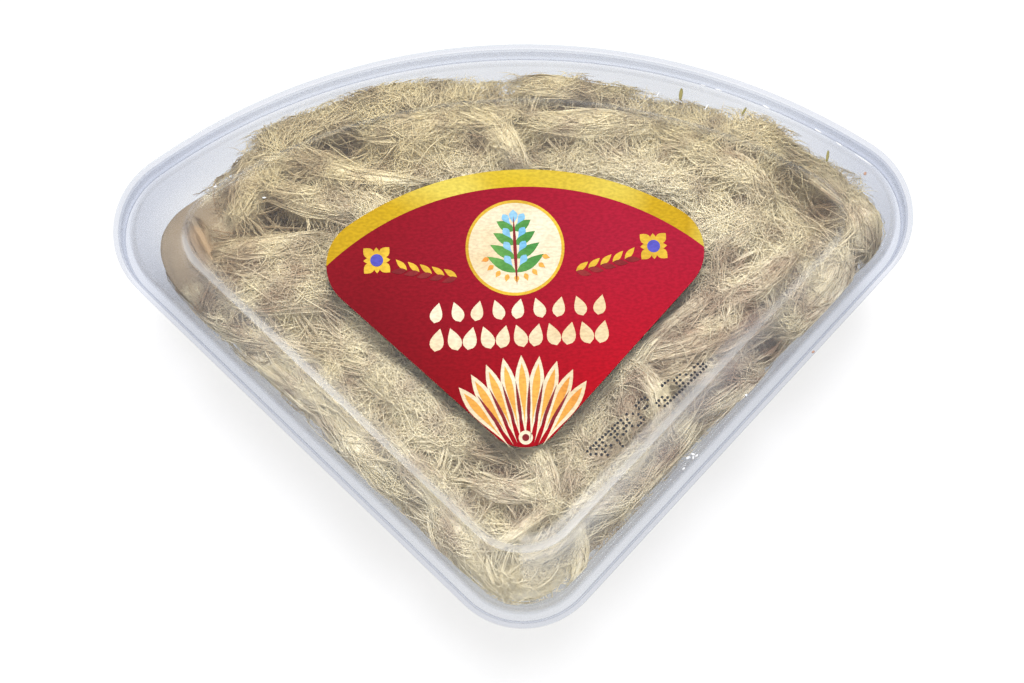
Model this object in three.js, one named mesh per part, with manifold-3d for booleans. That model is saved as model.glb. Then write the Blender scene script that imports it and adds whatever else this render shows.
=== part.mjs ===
// A shut, fan-shaped clear tub of flaky halva: tub, press-on lid, paper label and the halva inside.
// Millimetres, +Z up. X runs across the fan, +Y towards its arc, and the origin is the base's centre.

import * as THREE from 'three';
import { mergeVertices } from 'three/addons/utils/BufferGeometryUtils.js';
import Module from 'manifold-3d';

// Outline: a quarter-circle fan with rounded corners, given at the lid's outer edge.
const FAN_RADIUS = 127;
const HALF_ANGLE = Math.PI / 4;
const APEX_RADIUS = 17;
const CORNER_RADIUS = 17.5;
const APEX_Y = -(APEX_RADIUS * (Math.SQRT2 - 1) + FAN_RADIUS) / 2;
const ROUND_STEPS = 8;
const ARC_STEPS = 20;

// Lid, from the rim inwards.
const RIM_HEIGHT = 41.2;
const LID_SHEET = 0.8;
const SKIRT_DEPTH = 7;
const SKIRT_THICKNESS = 0.9;
const RIM_WIDTH = 4.2;
const TRAY_DEPTH = 2.4;
const SLOPE_FOOT_INSET = 11.3;
const PANEL_INSET = 13;
const PANEL_RISE = 0.8;
const PANEL_APEX_RADIUS = 11.4;
const PANEL_CORNER_RADIUS = 8.5;
const LID_BEAD = 0.7;
const LID_BEAD_DROP = 5;
const SLOPE_SET_IN = 0.5;
const RIM_ROUND = 0.8;
const EDGE_ROUND = 0.3;

// Tub.
const FLOOR_THICKNESS = 1;
const WALL_THICKNESS = 0.9;
const WALL_TOP_INSET = 2.2;
const WALL_FOOT_INSET = 6.7;
const FOOT_RADIUS = 3;
const BEAD_OUTER_INSET = 1.2;
const BEAD_DEPTH = 2.9;
const BEAD_NECK = 0.6;
const FOOT_STEPS = 4;
const CLEARANCE = 0.3;

// Label, a smaller fan with a corner of its own, laid a little askew on the lid's raised panel.
const LABEL_RADIUS = 60.7;
const LABEL_APEX_X = 1.2;
const LABEL_APEX_Y = -28.6;
const LABEL_APEX_RADIUS = 8.4;
const LABEL_CORNER_RADIUS = 9.8;
const LABEL_TURN = THREE.MathUtils.degToRad(1.5);
const LABEL_THICKNESS = 0.2;

// Halva: a packed core with locks of strands on its top and along the tub's wall.
const CROWN_HEIGHT = 35.4;
const SHOULDER_START = 4;
const SHOULDER_WIDTH = 17;
const SHOULDER_DROP = 7.5;
const RELIEF = 0.9;
const CORE_SINK = 1.6;
const CORE_POINTS = 44;
const CORE_LEVELS = [4, 12, 20];
const CORE_SCALES = [0.95, 0.84, 0.7, 0.54, 0.37, 0.18];
const CORE_SIDE_INSET = 1.6;
const CORE_FOOT_INSET = 3.2;
const CORE_RAGGEDNESS = 0.014;
const CORE_TOP_DROP = 4;
const GRAIN_FALLOFF = 1.5;
const GRAIN_SOFTNESS = 20;
const SEED = 42;
const MERGE_DISTANCE = 0.001;

// Locks: bundles of strands, flattened and thin at both ends.
const LOCK_HALF_HEIGHT = 2.4;
const LOCK_END_WIDTH = 0.3;
const LOCK_STEPS = 5;
const LOCK_SIDES = 5;
const MAIN_LOCK_RISE = 1.2;

// Smaller locks that fill the room between the main ones.
const FILL_LENGTH = 24;
const FILL_HALF_WIDTH = 3.6;
const FILL_PITCH = 25;
const FILL_ROW_PITCH = 19;
const FILL_MARGIN = 7;
const FILL_TURN = 0.9;
const FILL_BEND = 0.04;
const FILL_LIFT = 1.2;
const FILL_SPREAD = 0.3;
const FIELD_HALF_WIDTH = 80;
const FIELD_START = 9;

// Locks pressed against the wall: lengths are shares of the way round.
const WALL_LOCKS = 16;
const WALL_LOCK_STAGGER = 0.7;
const WALL_LOCK_LENGTH = 0.05;
const WALL_LOCK_EXTRA = 0.04;
const WALL_LOCK_HALF_WIDTH = 5;
const WALL_LOCK_INSET = 2.6;
const WALL_LOCK_LOW = 6;
const WALL_LOCK_HIGH = 25;
const WALL_LOCK_CLIMB = 14;
const WALL_LOCK_LOWEST = 4.5;
const WALL_LOCK_HIGHEST = 30;
const WALL_MIDDLE = 18;

// Hollows between the locks: middle, direction in degrees from +X, radius along it and across
// it, and depth.
const HOLLOWS = [
  [-36.5, 41, 15, 5.5, 2.6, 8],
  [-46, 35, 0, 3.2, 2.2, 5],
  [-47.5, 26, -8, 7.5, 3.6, 6],
  [63.5, 27.5, -50, 8.5, 5, 9],
  [20, 49.5, -4, 13, 2.6, 7],
  [47.5, 12.3, 42, 5, 1.6, 6],
  [52.5, -4.6, 36, 5, 2, 7],
  [20.5, -16.5, 72, 4.5, 1.6, 6],
  [-5, -25.5, -20, 7, 3.4, 6],
  [-71, 25, 62, 13, 7.5, 14],
];

// The locks that lie uppermost: middle, direction in degrees from +X, length, bend and half width.
const MAIN_LOCKS = [
  [33, 0.5, 42, 38, 0, 2.3],
  [47, 7, 27, 26, 0.015, 3.3],
  [38, -3.2, 17, 34, 0.006, 3.5],
  [42, -8.5, 14, 26, 0.004, 2.8],
  [43.5, -13.5, 28, 20, 0.012, 2.7],
  [28, -14, -68, 26, -0.045, 2.1],
  [27.5, -27.5, 52, 28, 0.002, 2.8],
  [64.5, 6, 55, 24, 0.03, 3.8],
  [73, 22, 105, 18, 0.02, 3.2],
  [66.5, 33, -48, 20, -0.02, 2.6],
  [54, 40, -12, 26, -0.012, 3.6],
  [46, 33, -35, 22, -0.008, 3.2],
  [-3, 42.5, -50, 22, -0.014, 2.8],
  [17, 43.5, -2, 28, 0.004, 3],
  [14, 53, -4, 26, -0.004, 2.6],
  [-20, 45, 12, 24, 0.006, 3.2],
  [-31, 33, -14, 28, 0.012, 1.7],
  [-39, 28, -12, 26, 0.006, 3.2],
  [-47, 38, -2, 22, -0.024, 2.5],
  [-42, 46, 20, 26, 0, 3.4],
  [-23, 52, 12, 22, 0, 3.2],
  [-55, 32, 78, 16, 0.02, 3.6],
  [-53, 17.5, 6, 26, 0.006, 3.3],
  [-50, 11.5, -12, 26, -0.006, 3.2],
  [-64, 19, -62, 16, 0, 2.4],
  [-54, 0, -26, 26, 0.008, 2.4],
  [-47, -8, -38, 24, -0.006, 3.2],
  [-33, -22, -46, 24, 0, 3.4],
  [-20, -30, -50, 24, 0.004, 2.4],
  [-12, -41, -58, 28, 0.008, 3.4],
  [-2, -33, -8, 15, 0, 2.4],
  [1, -39.5, 36, 18, 0, 1.5],
  [4.5, -30, -78, 18, 0.006, 2.3],
  [17, -36, 12, 16, 0, 2.2],
  [11.5, -44, 88, 16, 0.03, 1.6],
];

const SIN = Math.sin(HALF_ANGLE);
const COS = Math.cos(HALF_ANGLE);

const wasm = await Module();
wasm.setup();

// ---- outlines and lofted solids ----

// One outline of the fan, counter-clockwise: apex, right corner, long arc, left corner.
function fanOutline(apexY, radius, inset, apexRadius, cornerRadius) {
  const reach = radius - inset - cornerRadius;
  const depth = inset + cornerRadius;
  const along = Math.sqrt(reach ** 2 - depth ** 2);
  const cornerX = along * SIN - depth * COS;
  const cornerY = along * COS + depth * SIN;
  const turn = Math.atan2(cornerY, cornerX);
  const apexArc = new THREE.ArcCurve(
    0, apexY + (inset + apexRadius) / SIN, apexRadius, -Math.PI + HALF_ANGLE, -HALF_ANGLE,
  );
  const rightArc = new THREE.ArcCurve(cornerX, apexY + cornerY, cornerRadius, -HALF_ANGLE, turn);
  const longArc = new THREE.ArcCurve(0, apexY, radius - inset, turn, Math.PI - turn);
  const leftArc = new THREE.ArcCurve(
    -cornerX, apexY + cornerY, cornerRadius, Math.PI - turn, Math.PI + HALF_ANGLE,
  );
  return [
    ...apexArc.getPoints(ROUND_STEPS),
    ...rightArc.getPoints(ROUND_STEPS),
    ...longArc.getPoints(ARC_STEPS).slice(1, -1),
    ...leftArc.getPoints(ROUND_STEPS),
  ];
}

function atHeight(outline, z) {
  return outline.map((point) => new THREE.Vector3(point.x, point.y, z));
}

// Rings that keep a constant distance from the lid's outer edge.
function wallRing([inset, z]) {
  const outline = fanOutline(APEX_Y, FAN_RADIUS, inset, APEX_RADIUS - inset, CORNER_RADIUS - inset);
  return atHeight(outline, z);
}

// Rings round the lid's raised panel, whose corners are rounder than the rim's.
function panelRing([inset, z]) {
  const grow = PANEL_INSET - inset;
  const outline = fanOutline(
    APEX_Y, FAN_RADIUS, inset, PANEL_APEX_RADIUS + grow, PANEL_CORNER_RADIUS + grow,
  );
  return atHeight(outline, z);
}

// A closed solid through rings of equal count, from the ring that closes its underside to the
// ring that closes its top.
function loft(rings) {
  const count = rings[0].length;
  const vertices = rings.flat();
  const index = [];
  for (let level = 0; level < rings.length - 1; level += 1) {
    for (let i = 0; i < count; i += 1) {
      const a = level * count + i;
      const b = level * count + (i + 1) % count;
      index.push(a, b, b + count, a, b + count, a + count);
    }
  }
  const capRing = (first, flip) => {
    const centre = vertices.length;
    const mean = new THREE.Vector3();
    vertices.slice(first, first + count).forEach((vertex) => mean.addScaledVector(vertex, 1 / count));
    vertices.push(mean);
    for (let i = 0; i < count; i += 1) {
      const a = first + i;
      const b = first + (i + 1) % count;
      index.push(...(flip ? [centre, b, a] : [centre, a, b]));
    }
  };
  capRing(0, true);
  capRing((rings.length - 1) * count, false);
  const geometry = new THREE.BufferGeometry().setFromPoints(vertices);
  geometry.setIndex(index);
  return geometry;
}

// ---- tub, lid and label ----

function wallInset(z) {
  const span = RIM_HEIGHT - FOOT_RADIUS;
  return WALL_FOOT_INSET - (WALL_FOOT_INSET - WALL_TOP_INSET) * (z - FOOT_RADIUS) / span;
}

// A quarter-round from a flat floor to a wall, as inset and height.
function footRound(radius, wall, floor, steps) {
  return Array.from({ length: steps + 1 }, (_, i) => {
    const angle = Math.PI / 2 * i / steps;
    return [wall + radius * (1 - Math.sin(angle)), floor + radius * (1 - Math.cos(angle))];
  });
}

function tubProfile() {
  const lip = RIM_HEIGHT - LID_SHEET - CLEARANCE;
  const beadFoot = lip - BEAD_DEPTH;
  const innerRadius = FOOT_RADIUS - FLOOR_THICKNESS;
  const inner = WALL_TOP_INSET + WALL_THICKNESS;
  const innerFoot = footRound(
    innerRadius, WALL_FOOT_INSET + WALL_THICKNESS, FLOOR_THICKNESS, FOOT_STEPS - 1,
  );
  return [
    ...footRound(FOOT_RADIUS, WALL_FOOT_INSET, 0, FOOT_STEPS),
    [wallInset(beadFoot - BEAD_NECK), beadFoot - BEAD_NECK],
    [BEAD_OUTER_INSET, beadFoot],
    [BEAD_OUTER_INSET, lip - EDGE_ROUND],
    [BEAD_OUTER_INSET + EDGE_ROUND, lip],
    [inner - EDGE_ROUND, lip],
    [inner, lip - EDGE_ROUND],
    ...innerFoot.reverse(),
  ];
}

function lidRings() {
  const top = RIM_HEIGHT;
  const under = RIM_HEIGHT - LID_SHEET;
  const tray = RIM_HEIGHT - TRAY_DEPTH;
  const trayUnder = tray - LID_SHEET;
  const skirtFoot = RIM_HEIGHT - SKIRT_DEPTH;
  const bead = RIM_HEIGHT - LID_BEAD_DROP;
  const plug = WALL_TOP_INSET + WALL_THICKNESS + CLEARANCE;
  const panelTop = RIM_HEIGHT + PANEL_RISE;
  const underside = [
    [PANEL_INSET + SLOPE_SET_IN, panelTop - LID_SHEET],
    [SLOPE_FOOT_INSET + SLOPE_SET_IN, trayUnder],
  ].map(panelRing);
  const rim = [
    [plug + 2 * EDGE_ROUND, trayUnder],
    [plug + EDGE_ROUND, trayUnder + EDGE_ROUND],
    [plug, under - EDGE_ROUND],
    [plug - EDGE_ROUND, under],
    [SKIRT_THICKNESS + EDGE_ROUND, under],
    [SKIRT_THICKNESS, under - EDGE_ROUND],
    [SKIRT_THICKNESS, bead + LID_BEAD],
    [SKIRT_THICKNESS + LID_BEAD, bead],
    [SKIRT_THICKNESS, bead - LID_BEAD],
    [SKIRT_THICKNESS, skirtFoot],
    [0, skirtFoot],
    [0, top - RIM_ROUND],
    [EDGE_ROUND, top - EDGE_ROUND],
    [RIM_ROUND, top],
    [RIM_WIDTH - EDGE_ROUND, top],
    [RIM_WIDTH, top - EDGE_ROUND],
    [RIM_WIDTH, tray + EDGE_ROUND],
    [RIM_WIDTH + EDGE_ROUND, tray],
  ].map(wallRing);
  const panel = [
    [SLOPE_FOOT_INSET, tray],
    [PANEL_INSET - EDGE_ROUND, panelTop - EDGE_ROUND],
    [PANEL_INSET, panelTop],
  ].map(panelRing);
  return [...underside, ...rim, ...panel];
}

function labelRings() {
  const outline = fanOutline(0, LABEL_RADIUS, 0, LABEL_APEX_RADIUS, LABEL_CORNER_RADIUS);
  const apex = new THREE.Vector2(LABEL_APEX_X, LABEL_APEX_Y);
  const laid = outline.map((point) => point.rotateAround(new THREE.Vector2(), LABEL_TURN).add(apex));
  const bottom = RIM_HEIGHT + PANEL_RISE;
  return [atHeight(laid, bottom), atHeight(laid, bottom + LABEL_THICKNESS)];
}

// ---- halva ----

// Even random numbers from 0 to 1, by a linear congruential rule on 32 bits.
function makeRandom(seed) {
  const multiplier = 1664525;
  const increment = 1013904223;
  let state = seed;
  return () => {
    state = (Math.imul(state, multiplier) + increment) >>> 0;
    return state / 2 ** 32;
  };
}

// How far a place is in from the fan's nearest edge.
function edgeDistance(x, y) {
  const up = y - APEX_Y;
  const side = (up - Math.abs(x)) * SIN;
  return Math.min(side, FAN_RADIUS - Math.hypot(x, up));
}

// Uneven relief of the top: two crossed waves and a slanting one.
function relief(x, y) {
  const crossed = Math.sin(x / 5.3 + 0.7) * Math.sin(y / 4.1 + 1.9);
  const slanting = Math.sin(x / 2.9 - y / 3.7);
  return crossed + 0.6 * slanting;
}

// How deep a hollow is at a place.
function hollowDepth([cx, cy, degrees, along, across, depth], x, y) {
  const turn = THREE.MathUtils.degToRad(degrees);
  const u = ((x - cx) * Math.cos(turn) + (y - cy) * Math.sin(turn)) / along;
  const v = ((y - cy) * Math.cos(turn) - (x - cx) * Math.sin(turn)) / across;
  return depth * Math.exp(-u * u - v * v);
}

// The halva's top: crowned under the panel, falling to its edge, with the hollows taken out.
function topHeight(x, y) {
  const inwards = Math.max(edgeDistance(x, y) - SHOULDER_START, 0);
  const shoulder = 1 - Math.min(inwards / SHOULDER_WIDTH, 1);
  const hollow = HOLLOWS.reduce((sum, mark) => sum + hollowDepth(mark, x, y), 0);
  return CROWN_HEIGHT - SHOULDER_DROP * shoulder ** 2 - hollow + RELIEF * relief(x, y);
}

// The direction that the strands take at a place: the nearer a main lock, the more it counts.
function grainAngle(x, y) {
  let cosSum = 0;
  let sinSum = 0;
  MAIN_LOCKS.forEach(([lockX, lockY, degrees]) => {
    const apart = (x - lockX) ** 2 + (y - lockY) ** 2;
    const weight = 1 / (apart ** GRAIN_FALLOFF + GRAIN_SOFTNESS);
    const double = THREE.MathUtils.degToRad(2 * degrees);
    cosSum += weight * Math.cos(double);
    sinSum += weight * Math.sin(double);
  });
  return Math.atan2(sinSum, cosSum) / 2;
}

// A flattened lock of strands along a line of points, thin at both ends. normals says which way
// its thin side faces at each point.
function lockSolid(points, normals, halfWidth, halfHeight) {
  const last = points.length - 1;
  const rings = points.map((point, i) => {
    const ahead = points[Math.min(i + 1, last)].clone().sub(points[Math.max(i - 1, 0)]).normalize();
    const side = normals[i].clone().cross(ahead).normalize();
    const out = ahead.clone().cross(side);
    const swell = Math.sqrt(Math.sin(Math.PI * (i + 0.25) / (last + 0.5)));
    const taper = LOCK_END_WIDTH + (1 - LOCK_END_WIDTH) * swell;
    return Array.from({ length: LOCK_SIDES }, (_, k) => {
      const angle = 2 * Math.PI * (k + 0.5) / LOCK_SIDES;
      return point.clone()
        .addScaledVector(side, halfWidth * taper * Math.cos(angle))
        .addScaledVector(out, halfHeight * taper * Math.sin(angle));
    });
  });
  return loft(rings);
}

// One lock laid on the top, arched by its lift at the middle.
function topLock({ x, y, turn, length, bend, halfWidth, rise, lift }) {
  const up = new THREE.Vector3(0, 0, 1);
  const points = Array.from({ length: LOCK_STEPS }, (_, i) => {
    const along = length * (i / (LOCK_STEPS - 1) - 0.5);
    const angle = turn + bend * along;
    const px = x + along * Math.cos(angle);
    const py = y + along * Math.sin(angle);
    const arch = lift * Math.cos(Math.PI * along / length);
    return new THREE.Vector3(px, py, topHeight(px, py) + rise + arch);
  });
  return lockSolid(points, points.map(() => up), halfWidth, LOCK_HALF_HEIGHT);
}

function mainLocks() {
  return MAIN_LOCKS.map(([x, y, degrees, length, bend, halfWidth]) => topLock({
    x, y, turn: THREE.MathUtils.degToRad(degrees), length, bend, halfWidth,
    rise: MAIN_LOCK_RISE, lift: 0,
  }));
}

// Fill locks, on a jittered grid, along the grain.
function fillLocks(random) {
  const locks = [];
  const vary = () => 1 + FILL_SPREAD * (2 * random() - 1);
  for (let gridY = APEX_Y + FIELD_START; gridY < -APEX_Y; gridY += FILL_ROW_PITCH) {
    for (let gridX = -FIELD_HALF_WIDTH; gridX <= FIELD_HALF_WIDTH; gridX += FILL_PITCH) {
      const x = gridX + FILL_PITCH * (random() - 0.5);
      const y = gridY + FILL_PITCH * (random() - 0.5);
      const turn = grainAngle(x, y) + FILL_TURN * (random() - 0.5);
      const bend = FILL_BEND * (random() - 0.5);
      const length = FILL_LENGTH * vary();
      const halfWidth = FILL_HALF_WIDTH * vary();
      const lift = FILL_LIFT * random();
      if (edgeDistance(x, y) > FILL_MARGIN) {
        locks.push(topLock({ x, y, turn, length, bend, halfWidth, rise: 0, lift }));
      }
    }
  }
  return locks;
}

// A closed line through a ring, which steps along it by length.
function ringCurve(ring) {
  return new THREE.CatmullRomCurve3(ring, true, 'catmullrom', 0);
}

// Locks pressed against the tub's wall, all the way round.
function wallLocks(random) {
  const inset = wallInset(WALL_MIDDLE) + WALL_THICKNESS + WALL_LOCK_INSET;
  const ring = ringCurve(wallRing([inset, 0]));
  return Array.from({ length: WALL_LOCKS }, (_, n) => {
    const start = (n + WALL_LOCK_STAGGER * random()) / WALL_LOCKS;
    const length = WALL_LOCK_LENGTH + WALL_LOCK_EXTRA * random();
    const z = WALL_LOCK_LOW + (WALL_LOCK_HIGH - WALL_LOCK_LOW) * random();
    const climb = WALL_LOCK_CLIMB * (random() - 0.5);
    const points = [];
    const normals = [];
    for (let i = 0; i < LOCK_STEPS; i += 1) {
      const along = i / (LOCK_STEPS - 1);
      const u = (start + length * along) % 1;
      const point = ring.getPointAt(u);
      const tangent = ring.getTangentAt(u);
      const rise = z + climb * (along - 0.5);
      const height = THREE.MathUtils.clamp(rise, WALL_LOCK_LOWEST, WALL_LOCK_HIGHEST);
      const normal = new THREE.Vector3(tangent.y, -tangent.x, 0);
      const lean = wallInset(WALL_MIDDLE) - wallInset(height);
      points.push(point.addScaledVector(normal, lean).setZ(height));
      normals.push(normal);
    }
    return lockSolid(points, normals, WALL_LOCK_HALF_WIDTH, LOCK_HALF_HEIGHT);
  });
}

// The packed middle: uneven sides a little in from the wall, and the top's shape sunk below it.
function coreSolid() {
  const evenRing = (z, extra) => {
    const ring = ringCurve(wallRing([wallInset(z) + WALL_THICKNESS + extra, z]));
    return ring.getSpacedPoints(CORE_POINTS).slice(0, -1);
  };
  const raggedRing = (z) => evenRing(z, CORE_SIDE_INSET).map((point, i) => {
    const scale = 1 - CORE_RAGGEDNESS * (1 + Math.sin(2.3 * i + z));
    return new THREE.Vector3(point.x * scale, point.y * scale, z);
  });
  const shoulder = raggedRing(CROWN_HEIGHT - SHOULDER_DROP - CORE_TOP_DROP);
  const topRings = CORE_SCALES.map((scale) => shoulder.map((point) => {
    const x = point.x * scale;
    const y = point.y * scale;
    return new THREE.Vector3(x, y, topHeight(x, y) - CORE_SINK);
  }));
  const floor = FLOOR_THICKNESS + CLEARANCE;
  return loft([evenRing(floor, CORE_FOOT_INSET), ...CORE_LEVELS.map(raggedRing), ...topRings]);
}

// The space that the halva may fill, clear of the tub, the lid and its raised panel.
function cavitySolid() {
  const floor = FLOOR_THICKNESS + CLEARANCE;
  const gap = WALL_THICKNESS + CLEARANCE;
  const foot = footRound(
    FOOT_RADIUS - FLOOR_THICKNESS, WALL_FOOT_INSET + gap, floor, FOOT_STEPS - 1,
  );
  const tray = RIM_HEIGHT - TRAY_DEPTH - LID_SHEET - CLEARANCE;
  const panel = RIM_HEIGHT + PANEL_RISE - LID_SHEET - CLEARANCE;
  const walls = [...foot, [wallInset(tray) + gap + CLEARANCE, tray]].map(wallRing);
  const roof = [
    [SLOPE_FOOT_INSET + 2 * SLOPE_SET_IN, tray],
    [PANEL_INSET + 2 * SLOPE_SET_IN, panel],
  ].map(panelRing);
  return loft([...walls, ...roof]);
}

function toManifold(geometry) {
  const merged = mergeVertices(geometry, MERGE_DISTANCE);
  return new wasm.Manifold(new wasm.Mesh({
    numProp: 3,
    vertProperties: merged.attributes.position.array,
    triVerts: new Uint32Array(merged.index.array),
  }));
}

function toGeometry(solid) {
  const mesh = solid.getMesh();
  const geometry = new THREE.BufferGeometry();
  geometry.setAttribute('position', new THREE.BufferAttribute(mesh.vertProperties, 3));
  geometry.setIndex(new THREE.BufferAttribute(mesh.triVerts, 1));
  return geometry;
}

// The largest connected body: loose scraps are dropped, and hollows that got sealed are filled.
// Merging vertices can pinch off another hollow, so the solid is rebuilt until it is one body.
function mainBody(solid) {
  const bodies = toManifold(toGeometry(solid)).decompose();
  const largest = bodies.reduce((best, body) => (body.volume() > best.volume() ? body : best));
  return bodies.length === 1 ? largest : mainBody(largest);
}

function halvaGeometry() {
  const random = makeRandom(SEED);
  const locks = [...mainLocks(), ...fillLocks(random), ...wallLocks(random)];
  const packed = locks.reduce(
    (sum, lock) => sum.add(toManifold(lock)), toManifold(coreSolid()),
  );
  return toGeometry(mainBody(packed.intersect(toManifold(cavitySolid()))));
}

// ---- the object ----

const clearPlastic = new THREE.MeshStandardMaterial({
  color: 0xdfe4ee, roughness: 0.25, metalness: 0, transparent: true, opacity: 0.35,
});
const labelPaper = new THREE.MeshStandardMaterial({ color: 0xb3142b, roughness: 0.55, metalness: 0 });
const halvaStrands = new THREE.MeshStandardMaterial({ color: 0xd8cba8, roughness: 0.8, metalness: 0 });

function named(name, geometry, material) {
  geometry.computeVertexNormals();
  const mesh = new THREE.Mesh(geometry, material);
  mesh.name = name;
  return mesh;
}

const group = new THREE.Group();
group.add(
  named('tub', loft(tubProfile().map(wallRing)), clearPlastic),
  named('lid', loft(lidRings()), clearPlastic.clone()),
  named('label', loft(labelRings()), labelPaper),
  named('halva', halvaGeometry(), halvaStrands),
);

export default group;
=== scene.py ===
"""Looks of a shut, fan-shaped clear tub of flaky halva: tub, lid, label, strands, studio and camera.

Sizes are in millimetres, as in the CAD model, and become metres where a mesh is made.
"""

import math
from collections import namedtuple

import bpy
import numpy as np
from mathutils import Matrix, Vector


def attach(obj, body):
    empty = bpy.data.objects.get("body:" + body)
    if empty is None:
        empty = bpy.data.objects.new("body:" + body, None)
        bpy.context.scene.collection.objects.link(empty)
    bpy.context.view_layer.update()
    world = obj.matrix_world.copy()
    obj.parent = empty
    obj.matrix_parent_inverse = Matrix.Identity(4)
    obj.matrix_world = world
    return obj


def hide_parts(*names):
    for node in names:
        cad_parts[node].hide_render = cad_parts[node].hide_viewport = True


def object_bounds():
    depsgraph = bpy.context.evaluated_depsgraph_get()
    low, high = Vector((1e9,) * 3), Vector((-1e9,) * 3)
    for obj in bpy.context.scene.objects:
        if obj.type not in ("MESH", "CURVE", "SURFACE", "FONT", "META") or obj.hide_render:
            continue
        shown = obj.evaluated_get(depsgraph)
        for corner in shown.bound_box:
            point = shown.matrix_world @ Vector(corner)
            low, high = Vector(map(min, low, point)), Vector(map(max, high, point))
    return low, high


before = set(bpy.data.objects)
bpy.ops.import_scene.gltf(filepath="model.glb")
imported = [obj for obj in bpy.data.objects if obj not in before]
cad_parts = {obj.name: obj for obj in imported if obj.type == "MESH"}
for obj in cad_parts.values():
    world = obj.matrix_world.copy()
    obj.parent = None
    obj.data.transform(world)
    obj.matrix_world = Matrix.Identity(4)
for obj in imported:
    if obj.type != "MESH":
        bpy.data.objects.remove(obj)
cad_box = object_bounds()

MM = 0.001

# Plastic.
MILK = (0.46, 0.48, 0.51, 1)
WHITE = (0.95, 0.95, 0.95, 1)
DEEP = (0.885, 0.897, 0.93, 1)
GRAZED = (0.87, 0.885, 0.915, 1)
EDGE_HAZE = 0.18

# Outline: a quarter-circle fan with rounded corners, at the lid's outer edge.
FAN_RADIUS = 127.0
HALF_ANGLE = math.pi / 4
SIN = math.sin(HALF_ANGLE)
COS = math.cos(HALF_ANGLE)
APEX_RADIUS = 17.0
CORNER_RADIUS = 17.5
APEX_Y = -(APEX_RADIUS * (math.sqrt(2) - 1) + FAN_RADIUS) / 2
ROUND_STEPS = 20
ARC_STEPS = 72

# Lid, from the rim inwards.
RIM_HEIGHT = 41.2
LID_SHEET = 0.8
SKIRT_DEPTH = 7.0
SKIRT_THICKNESS = 0.9
RIM_WIDTH = 4.2
TRAY_DEPTH = 2.4
SLOPE_FOOT_INSET = 11.3
PANEL_INSET = 13.0
PANEL_RISE = 0.8
PANEL_TOP = RIM_HEIGHT + PANEL_RISE
PANEL_APEX_RADIUS = 11.4
PANEL_CORNER_RADIUS = 8.5
LID_BEAD = 0.7
LID_BEAD_DEPTH = 5.0
# The slope's milk gain, and its fade on the two straight sides below, are partly painted highlight on
# top of the plastic's real haze.
SLOPE_MILK_AND_SHEEN = 7.0
RIM_MILK = 0.5
LEFT_SLOPE = (24.0, 11.0, 0.03)  # the y where its milk ends, over what run, and its own fog
RIGHT_SLOPE = (22.0, 25.0, 0.13)
CORNER_FOG = 0.03
CORNERS_FROM = 52.0
CORNERS_RUN = 20.0

# Tub.
FLOOR_THICKNESS = 1.0
WALL_THICKNESS = 0.9
WALL_TOP_INSET = 2.2
WALL_FOOT_INSET = 6.7
FOOT_RADIUS = 3.0
BEAD_OUTER_INSET = 1.2
BEAD_DEPTH = 2.9
CLEARANCE = 0.3
TUB_MILK = 0.8

# Label, a smaller fan laid a little askew on the raised panel. Its apex is its own origin.
LABEL_RADIUS = 60.7
LABEL_APEX = (1.2, -28.6)
LABEL_APEX_RADIUS = 8.4
LABEL_CORNER_RADIUS = 9.8
LABEL_TURN = math.radians(1.5)
LABEL_THICKNESS = 0.1
INK_THICKNESS = 0.012
BAND_RADIUS = 57.0
MEDALLION = (0.0, 44.2)
MEDALLION_RADIUS = 9.4
INKS = {  # from the lowest up, each with the two shades it drifts between
    "cream": ((0.39, 0.351, 0.265), (0.343, 0.265, 0.156)),
    "leafgold": ((0.359, 0.234, 0.023), (0.234, 0.133, 0.012)),
    "green": ((0.031, 0.117, 0.027), (0.07, 0.172, 0.039)),
    "blue": ((0.078, 0.211, 0.328), (0.172, 0.281, 0.359)),
    "ochre": ((0.374, 0.203, 0.039), (0.328, 0.125, 0.023)),
    "wine": ((0.094, 0.008, 0.011), (0.14, 0.016, 0.016)),
    "indigo": ((0.039, 0.039, 0.203), (0.055, 0.047, 0.25)),
}

# Stamp: dot-printed marks in a row along the fan's right side.
STAMP_SEED = 5
STAMP_START = (14.2, -27.4)
STAMP_END = (36.4, -7.6)
STAMP_MARKS = 9
MARK_GRID = (4, 6)
DOT_PITCH = 0.8
DOT_RADII = (0.27, 0.33)
DOT_STRAY = 0.05
DOT_FACES = (-0.02, 0.03)  # lower and upper, from the panel's top
COMPASS = ((1, 0), (1, 1), (0, 1), (-1, 1), (-1, 0), (-1, -1), (0, -1), (1, -1))

SPECKS = {  # place, direction in degrees, length, width, rise
    # The first eight, short white dashes along the far rim, are painted highlight; the others are
    # white flakes and marks.
    "lid_glints_and_flakes": (
        (30.9, 48.9, 55, 1.5, 0.2, 0.05), (40.9, 45.8, 55, 1.7, 0.22, 0.05),
        (43.3, 48.6, -22, 1.5, 0.22, 0.05), (40.1, 49.7, -20, 1.1, 0.2, 0.05),
        (52.9, 44.6, -30, 1.8, 0.26, 0.05), (63.3, 39.1, -35, 1.7, 0.3, 0.05),
        (67.4, 36.1, -38, 1.7, 0.28, 0.05), (72.2, 32.6, -38, 4.6, 0.22, 0.05),
        (-61.3, 31.2, 20, 0.8, 0.4, 0.15), (-50.7, 27.5, 5, 0.8, 0.35, 0.15),
        (33.2, -27.7, 20, 1.1, 0.6, 0.3), (33.9, -27.3, -25, 0.9, 0.5, 0.25),
        (34.6, -27.6, 40, 0.8, 0.4, 0.2), (33.9, -28.0, 80, 0.7, 0.4, 0.2),
        (31.9, -30.1, 40, 0.7, 0.4, 0.2), (45.5, -15.4, 20, 0.6, 0.5, 0.2),
    ),
    "lid_slivers": (
        (35.7, 48.8, 80, 2.8, 0.8, 0.1), (65.4, 34.4, 78, 2.6, 0.6, 0.1),
        (48.7, 44.7, 58, 2.0, 0.5, 0.1),
    ),
    "lid_crumbs": ((59.0, -7.4, 30, 0.7, 0.5, 0.2), (72.9, 30.4, 60, 0.8, 0.6, 0.1)),
}

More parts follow.
